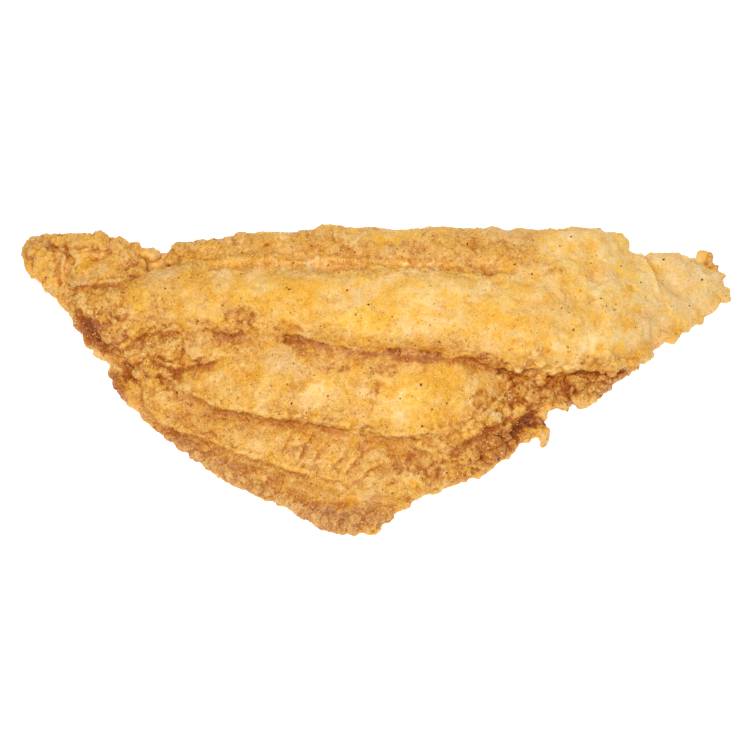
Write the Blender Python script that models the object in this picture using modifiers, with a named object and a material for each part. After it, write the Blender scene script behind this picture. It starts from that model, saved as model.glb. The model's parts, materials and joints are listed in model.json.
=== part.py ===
"""A fried catfish shank fillet, lying flat with its folded, breaded side up.

The fillet is one solid piece of food. Long sheets of flesh, each a swept roll with an
oval section, overlap like shingles on a slab that gives the outline, and the near lip
of each hangs over the next. Knobs of breading are fused to the lips and the rim, soft
relief covers the whole, and the underside is pressed flat by its own weight.

X runs along the fillet from the blunt crusty end (-X) to the tail end (+X), Y runs
across it towards its thick back edge, and Z is up. The sizes below are in millimetres,
and the scene is in metres.
"""

import math
import random

import bmesh
import bpy
import numpy as np
from mathutils import Euler, Matrix, Vector
from mathutils.bvhtree import BVHTree

MM = 0.001
NODE_NAME = "catfish_shank"

# Driving dimensions, in millimetres.
SLAB_RIM = 3.2  # height of the slab's middle plane at its thin rim
FLOOR_BITE = 1.7  # how far the soft underside is pressed flat by its own weight
FUSE_VOXEL = 0.7  # grain of the skin that fuses all the pieces
SKIN_VOXEL = 0.9  # grain of the final skin
TRIANGLE_BUDGET = 11200
ABOVE_FLOOR = 300.0  # side of the cube that holds everything above the floor
SEED = 7

# The slab under everything: x, near edge y, far edge y, top height.
SLAB = [
    (-107.6, 40.0, 47.0, 6.0),
    (-103.0, 35.5, 48.3, 7.5),
    (-96.0, 28.5, 49.0, 8.0),
    (-90.5, 21.0, 48.8, 8.0),
    (-85.0, 13.8, 47.5, 7.5),
    (-80.0, 8.3, 46.0, 7.0),
    (-77.0, 0.8, 44.0, 6.0),
    (-70.0, -7.3, 42.5, 5.0),
    (-60.5, -16.8, 42.0, 4.8),
    (-51.0, -23.0, 42.5, 4.8),
    (-41.5, -28.8, 43.5, 4.8),
    (-32.0, -33.5, 43.8, 4.8),
    (-23.0, -39.0, 44.0, 4.8),
    (-15.0, -42.2, 44.5, 4.8),
    (-7.0, -44.6, 45.0, 4.8),
    (0.0, -44.6, 45.0, 4.8),
    (5.5, -39.5, 45.0, 5.0),
    (13.0, -35.2, 44.8, 5.0),
    (20.0, -32.0, 44.5, 5.0),
    (29.0, -28.0, 44.0, 5.0),
    (37.5, -22.7, 44.0, 5.0),
    (43.0, -17.5, 44.0, 5.2),
    (50.0, -11.5, 44.0, 6.5),
    (57.0, -5.5, 44.5, 7.2),
    (64.0, -3.8, 45.5, 7.8),
    (70.0, 1.5, 47.0, 8.2),
    (77.0, 7.6, 44.0, 8.0),
    (84.0, 13.2, 42.3, 8.0),
    (92.0, 19.5, 41.5, 7.8),
    (99.0, 24.6, 41.3, 7.2),
    (103.5, 28.8, 39.0, 6.5),
    (106.3, 32.0, 36.5, 5.5),
]

# Sheets and rolls of flesh. A station is x, y, z of the middle line, half width, half
# thickness. Lean pushes the crown towards the near edge, so that the lip overhangs.
# Slope lowers the near side against the far side. A hem is a row of breading knobs
# along the near lip: spacing, then least and most radius.
FOLDS = {
    "loin": {
        "lean": 0.3,
        "slope": 0.0,
        "power": 2.3,
        "hem": (4.2, 0.9, 1.5),
        "stations": [
            (-92.0, 25.5, 5.5, 6.0, 5.0),
            (-85.0, 24.5, 7.5, 8.8, 6.0),
            (-72.0, 24.8, 9.5, 10.3, 8.0),
            (-58.0, 25.0, 11.5, 10.7, 9.3),
            (-40.0, 23.4, 13.3, 11.0, 10.2),
            (-22.0, 22.2, 14.5, 12.2, 11.0),
            (-4.0, 20.8, 15.0, 13.2, 11.5),
            (13.0, 19.8, 15.3, 14.2, 11.8),
            (31.0, 17.6, 15.3, 15.0, 11.8),
            (49.0, 16.6, 14.5, 16.2, 11.3),
            (62.0, 18.4, 13.0, 17.2, 10.3),
            (72.0, 21.8, 11.0, 19.0, 8.8),
            (79.0, 24.3, 9.0, 17.0, 7.0),
            (84.0, 24.5, 7.5, 13.5, 5.8),
            (90.0, 23.2, 6.2, 8.5, 4.6),
            (96.0, 23.5, 5.0, 4.5, 3.6),
            (100.0, 25.0, 4.5, 2.5, 2.8),
        ],
    },
    "back_strip": {
        "lean": -0.1,
        "slope": -0.15,
        "power": 2.4,
        "stations": [
            (-61.0, 38.5, 8.0, 5.0, 5.5),
            (-43.0, 38.4, 10.5, 7.8, 7.5),
            (-22.0, 38.6, 12.0, 7.9, 8.0),
            (-4.0, 38.8, 12.5, 7.9, 8.5),
            (14.0, 38.3, 13.0, 8.0, 8.7),
            (31.0, 37.6, 13.0, 8.5, 8.7),
            (49.0, 36.8, 12.5, 9.2, 8.7),
            (62.0, 37.4, 11.5, 9.2, 8.5),
            (73.0, 39.5, 9.5, 7.5, 6.5),
        ],
    },
    "tail": {
        "lean": 0.1,
        "slope": 0.05,
        "power": 2.6,
        "stations": [
            (72.0, 30.0, 4.0, 10.0, 4.5),
            (84.0, 29.5, 4.8, 13.0, 4.8),
            (95.0, 31.2, 4.6, 10.5, 4.6),
            (101.5, 33.0, 4.2, 7.3, 4.0),
            (105.3, 34.2, 3.8, 4.0, 3.0),
        ],
    },
    "second_lobe": {
        "lean": 0.4,
        "slope": 0.15,
        "power": 2.9,
        "hem": (2.8, 0.9, 1.5),
        "stations": [
            (-58.5, 1.0, 7.5, 3.5, 3.6),
            (-50.0, 3.0, 9.7, 10.0, 5.2),
            (-40.0, 3.0, 11.2, 12.8, 6.2),
            (-30.0, 2.0, 12.0, 13.8, 6.8),
            (-17.0, 0.5, 12.4, 14.8, 6.8),
            (-3.0, -1.0, 11.8, 15.5, 6.4),
            (12.0, -3.0, 12.2, 16.2, 6.8),
            (25.0, -3.0, 11.4, 14.0, 6.2),
            (33.5, -1.5, 10.0, 9.5, 5.2),
            (38.0, 0.0, 9.0, 5.0, 4.2),
        ],
    },
    "lobe_ring": {
        "lean": 0.35,
        "slope": 0.12,
        "power": 2.6,
        "hem": (2.6, 1.1, 1.8),
        "stations": [
            (4.0, -14.0, 6.0, 7.0, 3.6),
            (15.0, -15.0, 6.6, 8.5, 4.0),
            (26.0, -14.0, 7.0, 9.0, 4.2),
            (34.0, -8.5, 7.0, 8.5, 4.4),
            (38.5, -1.0, 7.0, 6.5, 4.5),
            (41.0, 7.0, 7.0, 5.0, 4.5),
        ],
    },
    "third_band": {
        "lean": 0.4,
        "slope": 0.1,
        "power": 2.6,
        "hem": (3.0, 0.8, 1.3),
        "stations": [
            (-74.0, 3.0, 4.8, 3.5, 3.0),
            (-68.0, 0.5, 5.6, 7.0, 3.4),
            (-58.0, -4.5, 6.2, 9.5, 3.7),
            (-46.0, -8.5, 6.4, 11.5, 3.8),
            (-32.0, -13.0, 6.4, 13.0, 3.8),
            (-17.0, -17.5, 6.2, 13.5, 3.7),
            (-2.0, -21.0, 5.8, 14.0, 3.5),
            (12.0, -22.0, 5.2, 11.5, 3.0),
            (26.0, -19.5, 4.5, 8.5, 2.8),
            (36.0, -15.0, 4.0, 5.0, 2.6),
        ],
    },
    "crust_shelf": {
        "lean": 0.1,
        "slope": 0.1,
        "power": 2.4,
        "stations": [
            (38.0, -14.0, 4.5, 5.0, 3.4),
            (48.0, -6.0, 5.4, 6.0, 4.0),
            (58.0, -0.2, 6.0, 5.8, 4.4),
            (68.0, 4.6, 6.0, 6.0, 4.4),
            (76.0, 11.0, 5.5, 5.0, 4.0),
        ],
    },
    "outer_band": {
        "lean": 0.2,
        "slope": 0.06,
        "power": 2.6,
        "stations": [
            (-74.5, 2.5, 3.4, 3.0, 2.6),
            (-69.0, -3.0, 3.2, 5.0, 2.5),
            (-59.0, -10.5, 3.1, 6.0, 2.4),
            (-48.0, -17.0, 3.0, 7.0, 2.4),
            (-36.0, -23.5, 3.0, 8.0, 2.4),
            (-21.0, -31.5, 3.0, 8.5, 2.5),
            (-8.0, -37.0, 3.1, 8.0, 2.6),
            (0.0, -38.5, 3.1, 5.5, 2.6),
        ],
    },
    "head_lump": {
        "lean": 0.35,
        "slope": 0.05,
        "power": 2.5,
        "stations": [
            (-93.0, 32.5, 7.5, 3.0, 3.5),
            (-86.0, 34.0, 9.3, 5.2, 4.3),
            (-78.0, 35.5, 10.0, 5.6, 4.5),
            (-69.0, 38.0, 9.3, 3.5, 3.8),
        ],
    },
}

# Single lumps: x, y, z, radius along x, y and z, turn about Z in degrees.
LUMPS = {
    "tip_wedge": (-98.8, 39.8, 5.6, 7.2, 6.2, 4.8, 35),
    "tip_crumb_1": (-94.0, 44.6, 8.0, 3.1, 3.0, 3.2, 0),
    "tip_crumb_2": (-89.0, 43.4, 9.4, 3.6, 3.6, 3.8, 20),
    "tip_crumb_3": (-83.2, 42.7, 9.4, 3.6, 3.6, 3.8, -10),
    "tip_crumb_4": (-78.0, 43.0, 8.6, 3.4, 3.2, 3.4, 0),
    "tip_crumb_5": (-88.0, 40.0, 8.6, 3.0, 2.6, 3.0, 40),
    "behind_lens": (-75.0, 41.3, 6.5, 6.5, 3.0, 3.6, 12),
    "back_spike_1": (-73.0, 44.0, 6.0, 1.6, 2.8, 1.8, 8),
    "back_spike_2": (-68.0, 42.3, 5.5, 2.0, 2.0, 2.0, 0),
    "strip_end": (-58.5, 40.3, 9.0, 4.2, 3.8, 4.0, 0),
    "loin_cheek": (-81.5, 20.0, 9.5, 6.8, 5.2, 5.4, -20),
    "cheek_below": (-75.4, 14.6, 8.6, 7.0, 4.4, 4.8, -12),
    "shoulder_left": (-61.8, 10.8, 10.3, 6.6, 6.0, 5.8, 25),
    "shoulder_ridge": (-56.7, 12.0, 13.4, 1.6, 4.4, 3.2, -10),
    "shoulder_right": (-48.5, 11.3, 10.6, 9.5, 5.8, 6.4, 10),
    "lobe_bulge": (12.5, -5.5, 13.4, 12.0, 8.0, 7.6, -4),
    "knot_1": (-70.4, 8.2, 8.4, 2.8, 2.5, 2.7, 0),
    "knot_2": (-66.4, 6.6, 10.0, 3.1, 2.7, 2.8, 30),
    "knot_3": (-68.4, 3.6, 8.6, 2.7, 2.5, 2.7, 0),
    "knot_4": (-62.6, 3.8, 10.0, 2.9, 2.6, 2.7, 0),
    "knot_5": (-65.0, 0.9, 8.8, 2.7, 2.4, 2.6, 50),
    "knot_6": (-60.9, 0.5, 8.8, 2.4, 2.3, 2.4, 0),
    "knot_7": (-58.4, 3.8, 9.6, 2.5, 2.3, 2.4, 0),
    "notch_fin": (-76.0, 0.8, 4.2, 2.6, 3.4, 3.2, 0),
    "near_lump_1": (-11.5, -43.0, 3.2, 5.2, 2.7, 2.8, -6),
    "near_lump_2": (-2.5, -43.6, 3.3, 5.8, 2.9, 3.0, 4),
    "near_lump_3": (2.5, -40.0, 5.4, 3.6, 3.4, 2.6, 30),
    "flap_corner": (73.6, 44.6, 8.5, 5.4, 5.0, 4.2, 0),
    "tail_knob": (101.0, 42.0, 5.3, 2.5, 2.3, 2.0, 0),
    "tail_bead": (106.6, 29.8, 3.4, 1.7, 2.4, 1.6, 0),
    "rim_bead": (79.0, 7.2, 4.0, 1.5, 1.7, 1.4, 0),
    "crust_arm": (48.0, -14.4, 4.2, 5.0, 1.7, 1.8, 14),
    "crust_spike": (50.4, -16.4, 3.8, 1.4, 2.4, 1.3, -15),
    "crust_knob_1": (40.5, -18.5, 4.2, 2.8, 2.6, 2.8, 0),
    "crust_knob_2": (45.5, -8.5, 7.5, 3.4, 2.2, 2.6, 40),
    "crust_knob_3": (60.5, -3.4, 5.4, 4.2, 2.6, 3.2, 5),
    "crust_knob_4": (66.5, 0.6, 6.4, 3.4, 2.6, 3.2, 30),
    "crust_knob_5": (55.0, -4.4, 5.6, 3.0, 2.5, 3.0, 0),
}

# Patches of craggy breading: middle x, y, half sizes along x and y, count, least and most radius.
CRAG_PATCHES = {
    "tip": (-101.0, 40.0, 5.0, 5.5, 8, 1.0, 1.8),
    "back_corner": (-84.0, 44.0, 13.0, 3.5, 14, 1.1, 1.9),
    "left_hollow": (-84.0, 14.5, 5.0, 4.0, 8, 1.0, 1.8),
    "shoulder": (-66.0, 8.0, 9.0, 6.0, 12, 1.0, 1.8),
    "near_corner": (-4.0, -41.0, 11.0, 3.5, 14, 1.0, 2.0),
    "under_lobe": (33.0, -17.5, 12.0, 5.0, 34, 1.3, 2.5),
    "beside_ring": (45.0, -4.0, 5.0, 8.0, 22, 1.3, 2.4),
    "shelf_left": (50.0, -5.5, 6.0, 3.0, 16, 1.4, 2.4),
    "shelf_middle": (60.0, -1.8, 7.0, 2.6, 20, 1.4, 2.6),
    "shelf_right": (67.5, 2.0, 5.0, 2.2, 12, 1.3, 2.3),
    "tail_tip": (103.5, 34.5, 3.0, 6.5, 8, 0.9, 1.6),
}
RIM_BEADS = (3.4, 0.8, 1.6)  # spacing along the slab's rim, least and most radius

# Relief on the skin: name, size of its features, depth.
RELIEF = [
    ("swells", 13.0, 3.6),
    ("flakes", 5.5, 1.8),
    ("crust", 2.4, 0.9),
]


def catmull_rom(stations, per_span):
    """Stations along a smooth line through the given ones, as a NumPy array."""
    table = np.array(stations, float)
    padded = np.vstack([2 * table[0] - table[1], table, 2 * table[-1] - table[-2]])
    rows = []
    for i in range(1, len(padded) - 2):
        before, start, end, after = padded[i - 1 : i + 3]
        for t in np.arange(per_span) / per_span:
            rows.append(
                start
                + 0.5 * t * (end - before)
                + t * t * (before - 2.5 * start + 2 * end - 0.5 * after)
                + t**3 * (1.5 * (start - end) + 0.5 * (after - before))
            )
    rows.append(table[-1])
    return np.array(rows)


def round_ends(centres, half_widths):
    """How much of its full size each section has, so that a roll closes in round ends."""
    steps = np.linalg.norm(np.diff(centres, axis=0), axis=1)
    along = np.concatenate([[0], np.cumsum(steps)])
    from_start = along / half_widths[0]
    from_end = (along[-1] - along) / half_widths[-1]
    near = np.clip(np.minimum(from_start, from_end), 0.0, 1.0)
    return np.sqrt(1 - (1 - near) ** 2)


def mesh_object(name, points, faces, collection):
    mesh = bpy.data.meshes.new(name)
    mesh.from_pydata([tuple(p) for p in points], [], faces)
    mesh.validate()
    obj = bpy.data.objects.new(name, mesh)
    collection.objects.link(obj)
    return obj


def loft(name, rings, collection):
    """A closed skin through rings of equal length, with a fan at each end."""
    count, around = rings.shape[:2]
    points = list(rings.reshape(-1, 3))
    faces = []
    for i in range(count - 1):
        for j in range(around):
            k = (j + 1) % around
            faces.append(
                (i * around + j, i * around + k, (i + 1) * around + k, (i + 1) * around + j)
            )
    for ring, flip in ((0, True), (count - 1, False)):
        points.append(rings[ring].mean(axis=0))
        centre = len(points) - 1
        for j in range(around):
            k = (j + 1) % around
            a, b = ring * around + j, ring * around + k
            faces.append((b, a, centre) if flip else (a, b, centre))
    return mesh_object(name, points, faces, collection)


def oval(angle, power):
    """A point on a unit superellipse."""
    c, s = math.cos(angle), math.sin(angle)
    return (
        math.copysign(abs(c) ** (2 / power), c),
        math.copysign(abs(s) ** (2 / power), s),
    )


def make_slab(collection, around=40, power=3.2):
    table = catmull_rom(SLAB, 4)
    centres = np.stack([table[:, 0], (table[:, 1] + table[:, 2]) / 2], axis=1)
    half = (table[:, 2] - table[:, 1]) / 2
    size = np.maximum(round_ends(centres, np.full(len(table), 4.0)), 0.3)
    rings = np.empty((len(table), around, 3))
    for i, (x, _, _, top) in enumerate(table):
        for j in range(around):
            across, up = oval(2 * math.pi * j / around, power)
            height = top - SLAB_RIM if up > 0 else SLAB_RIM + FLOOR_BITE
            rings[i, j] = (
                x,
                centres[i, 1] + across * half[i] * size[i],
                SLAB_RIM + up * height * size[i],
            )
    return loft("slab", rings * MM, collection)


def fold_sections(spec, per_span=5):
    """Middle line, half widths, half thicknesses and sideways directions of a fold."""
    table = catmull_rom(spec["stations"], per_span)
    tangent = np.gradient(table[:, :2], axis=0)
    tangent /= np.linalg.norm(tangent, axis=1)[:, None]
    sideways = np.stack([-tangent[:, 1], tangent[:, 0]], axis=1)
    return table[:, :3], table[:, 3], table[:, 4], sideways


def make_fold(name, spec, collection, around=32):
    centres, half_width, half_height, sideways = fold_sections(spec)
    size = np.maximum(round_ends(centres, half_width), 0.12)
    rings = np.empty((len(centres), around, 3))
    for i, centre in enumerate(centres):
        for j in range(around):
            across, up = oval(2 * math.pi * j / around, spec["power"])
            offset = across * half_width[i] * size[i]
            lean = spec["lean"] * up * half_height[i] * size[i]
            rings[i, j, :2] = centre[:2] + sideways[i] * (offset - lean)
            rings[i, j, 2] = centre[2] + up * half_height[i] * size[i] + spec["slope"] * offset
    return loft(name, rings * MM, collection)


def make_lump(place, radii, turn, rng, collection, rough=0.1):
    """One uneven lump of breading: a squashed, turned icosphere."""
    ball = bmesh.new()
    bmesh.ops.create_icosphere(ball, subdivisions=2, radius=1.0)
    for vertex in ball.verts:
        vertex.co *= rng.uniform(1 - rough, 1 + rough)
    size = Matrix.Diagonal([r * MM for r in radii]).to_4x4()
    ball.transform(Matrix.Translation(Vector(place) * MM) @ Euler(turn).to_matrix().to_4x4() @ size)
    mesh = bpy.data.meshes.new("lump")
    ball.to_mesh(mesh)
    ball.free()
    collection.objects.link(bpy.data.objects.new("lump", mesh))


def make_knob(place, least, most, rng, collection):
    radius = rng.uniform(least, most)
    radii = [radius * rng.uniform(0.85, 1.25) for _ in range(3)]
    turn = (rng.uniform(-0.5, 0.5), rng.uniform(-0.5, 0.5), rng.uniform(0, math.pi))
    make_lump((place[0], place[1], max(place[2], radii[2])), radii, turn, rng, collection)


def add_hems(collection, rng):
    """Rows of knobs along the near lips of the folds, so that the lips are scalloped."""
    for spec in FOLDS.values():
        if "hem" not in spec:
            continue
        spacing, least, most = spec["hem"]
        centres, half_width, half_height, sideways = fold_sections(spec)
        travelled = 0.0
        for i in range(3, len(centres) - 3):
            travelled += np.linalg.norm(centres[i] - centres[i - 1])
            if travelled < spacing * rng.uniform(0.6, 1.5):
                continue
            travelled = 0.0
            reach = half_width[i] - rng.uniform(-0.2, 0.7)
            edge = centres[i, :2] - sideways[i] * reach
            height = centres[i, 2] - spec["slope"] * reach + half_height[i] * rng.uniform(-0.1, 0.3)
            make_knob((*edge, height), least, most, rng, collection)


def add_rim_beads(collection, rng):
    """Knobs all round the slab's rim."""
    spacing, least, most = RIM_BEADS
    table = catmull_rom(SLAB, 8)
    for column, inset in ((1, 1.0), (2, -1.0)):
        travelled = 0.0
        for i in range(1, len(table)):
            here, last = table[i, [0, column]], table[i - 1, [0, column]]
            travelled += np.linalg.norm(here - last)
            if travelled < spacing * rng.uniform(0.5, 1.6):
                continue
            travelled = 0.0
            edge = here[1] + inset * rng.uniform(0.5, 1.5)
            make_knob((here[0], edge, rng.uniform(2.5, 6.0)), least, most, rng, collection)


def add_crags(collection, surface, rng):
    """Knobs scattered over the craggy patches, each set on what lies under it."""
    for x, y, half_x, half_y, count, least, most in CRAG_PATCHES.values():
        for _ in range(count):
            angle, reach = rng.uniform(0, 2 * math.pi), math.sqrt(rng.random())
            spot_x = x + half_x * reach * math.cos(angle)
            spot_y = y + half_y * reach * math.sin(angle)
            above = Vector((spot_x, spot_y, 60.0)) * MM
            hit = surface.ray_cast(above, Vector((0, 0, -1)))[0]
            if hit is not None:
                sink = rng.uniform(-0.5, 0.5)
                make_knob((spot_x, spot_y, hit.z / MM + sink), least, most, rng, collection)


def top_surface(objects):
    """A tree for rays, of several closed meshes taken together."""
    both = bmesh.new()
    for obj in objects:
        both.from_mesh(obj.data)
    tree = BVHTree.FromBMesh(both)
    both.free()
    return tree


def add_remesh(obj, voxel):
    remesh = obj.modifiers.new("skin", "REMESH")
    remesh.mode = "VOXEL"
    remesh.voxel_size = voxel * MM


def add_relief(obj):
    """Soft swells, flakes and crust, each a layer of noise that moves the skin along its normal."""
    for name, scale, depth in RELIEF:
        texture = bpy.data.textures.new(name, "CLOUDS")
        texture.noise_scale = scale * MM
        displace = obj.modifiers.new(name, "DISPLACE")
        displace.texture = texture
        displace.texture_coords = "GLOBAL"
        displace.mid_level = 0.5
        displace.strength = depth * MM


def apply_modifiers(obj):
    bpy.context.view_layer.update()
    evaluated = obj.evaluated_get(bpy.context.evaluated_depsgraph_get())
    mesh = bpy.data.meshes.new_from_object(evaluated)
    obj.modifiers.clear()
    obj.data = mesh


def press_flat(obj):
    """Cuts off what lies below the floor, so that the fillet rests on a flat underside."""
    bpy.ops.mesh.primitive_cube_add(size=ABOVE_FLOOR * MM, location=(0, 0, ABOVE_FLOOR / 2 * MM))
    keep = bpy.context.object
    keep.name = "above_floor"
    cut = obj.modifiers.new("press_flat", "BOOLEAN")
    cut.operation = "INTERSECT"
    cut.object = keep
    cut.solver = "MANIFOLD"
    apply_modifiers(obj)
    bpy.data.objects.remove(keep)


def thin_out(obj):
    """Brings the skin down to the triangle budget."""
    mesh = bmesh.new()
    mesh.from_mesh(obj.data)
    bmesh.ops.triangulate(mesh, faces=mesh.faces)
    count = len(mesh.faces)
    mesh.to_mesh(obj.data)
    mesh.free()
    decimate = obj.modifiers.new("thin_out", "DECIMATE")
    decimate.ratio = TRIANGLE_BUDGET / count
    decimate.use_collapse_triangulate = True
    apply_modifiers(obj)


def settle(obj):
    """Puts the middle of the footprint over the origin and the underside on the floor."""
    for vertex in obj.data.vertices:
        if vertex.co.z < 1e-5:
            vertex.co.z = 0.0
    points = np.array([vertex.co for vertex in obj.data.vertices])
    low, high = points.min(axis=0), points.max(axis=0)
    middle = (low + high) / 2
    obj.data.transform(Matrix.Translation((-middle[0], -middle[1], -low[2])))
    print("size, mm:", [round(float(s) / MM, 1) for s in high - low])
    print("moved by, mm:", [round(-float(m) / MM, 2) for m in middle[:2]])
    return -middle


def breading():
    material = bpy.data.materials.new("fried_breading")
    material.use_nodes = True
    shader = material.node_tree.nodes["Principled BSDF"]
    shader.inputs["Base Color"].default_value = (0.80, 0.46, 0.13, 1.0)
    shader.inputs["Roughness"].default_value = 0.6
    return material


def clear_scene():
    for obj in list(bpy.data.objects):
        bpy.data.objects.remove(obj)


def new_collection(name):
    collection = bpy.data.collections.new(name)
    bpy.context.scene.collection.children.link(collection)
    return collection


def main():
    clear_scene()
    rng = random.Random(SEED)
    body = new_collection("catfish_shank_body")
    pieces = new_collection("folds_and_knobs")
    fillet = make_slab(body)
    for name, spec in FOLDS.items():
        make_fold(name, spec, pieces)
    for x, y, z, *radii, turn in LUMPS.values():
        make_lump((x, y, z), radii, (0, 0, math.radians(turn)), rng, pieces, rough=0.06)
    surface = top_surface([fillet, *pieces.objects])
    add_hems(pieces, rng)
    add_rim_beads(pieces, rng)
    add_crags(pieces, surface, rng)

    union = fillet.modifiers.new("join_folds", "BOOLEAN")
    union.operation = "UNION"
    union.operand_type = "COLLECTION"
    union.collection = pieces
    union.solver = "MANIFOLD"
    add_remesh(fillet, FUSE_VOXEL)
    add_relief(fillet)
    add_remesh(fillet, SKIN_VOXEL)
    apply_modifiers(fillet)
    for obj in list(pieces.objects):
        bpy.data.objects.remove(obj)
    press_flat(fillet)
    thin_out(fillet)
    moved = settle(fillet)
    fillet.name = NODE_NAME
    fillet.data.materials.clear()
    fillet.data.materials.append(breading())
    fillet.data.shade_smooth()
    print("triangles:", len(fillet.data.polygons))
    return moved


main()
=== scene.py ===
import json
import math
import random

import bmesh
import bpy
import numpy as np
from mathutils import Euler, Matrix, Vector, noise
from mathutils.bvhtree import BVHTree
from mathutils.kdtree import KDTree

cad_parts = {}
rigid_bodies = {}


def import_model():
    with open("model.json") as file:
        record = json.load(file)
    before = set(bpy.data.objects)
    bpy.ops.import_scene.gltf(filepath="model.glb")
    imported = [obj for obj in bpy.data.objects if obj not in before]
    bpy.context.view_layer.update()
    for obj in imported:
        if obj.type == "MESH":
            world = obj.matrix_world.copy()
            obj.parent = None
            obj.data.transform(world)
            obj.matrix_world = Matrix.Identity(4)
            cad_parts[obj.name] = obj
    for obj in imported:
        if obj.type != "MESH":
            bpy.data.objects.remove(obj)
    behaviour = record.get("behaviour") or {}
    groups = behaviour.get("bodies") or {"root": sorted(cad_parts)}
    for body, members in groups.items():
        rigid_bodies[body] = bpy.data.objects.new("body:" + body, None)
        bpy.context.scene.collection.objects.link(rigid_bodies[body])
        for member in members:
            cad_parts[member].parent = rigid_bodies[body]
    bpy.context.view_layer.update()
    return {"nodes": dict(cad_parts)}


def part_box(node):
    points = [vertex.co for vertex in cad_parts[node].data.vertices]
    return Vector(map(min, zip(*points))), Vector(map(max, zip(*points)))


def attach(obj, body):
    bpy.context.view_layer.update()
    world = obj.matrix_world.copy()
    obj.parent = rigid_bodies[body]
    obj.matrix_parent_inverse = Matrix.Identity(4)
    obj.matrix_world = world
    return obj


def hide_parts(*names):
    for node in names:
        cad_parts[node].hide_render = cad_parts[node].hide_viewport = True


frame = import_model()
mm = 0.001
noise.seed_set(7)  # noise_vector would take its offsets from the clock
print("frame loaded:", list(frame["nodes"]))

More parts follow.
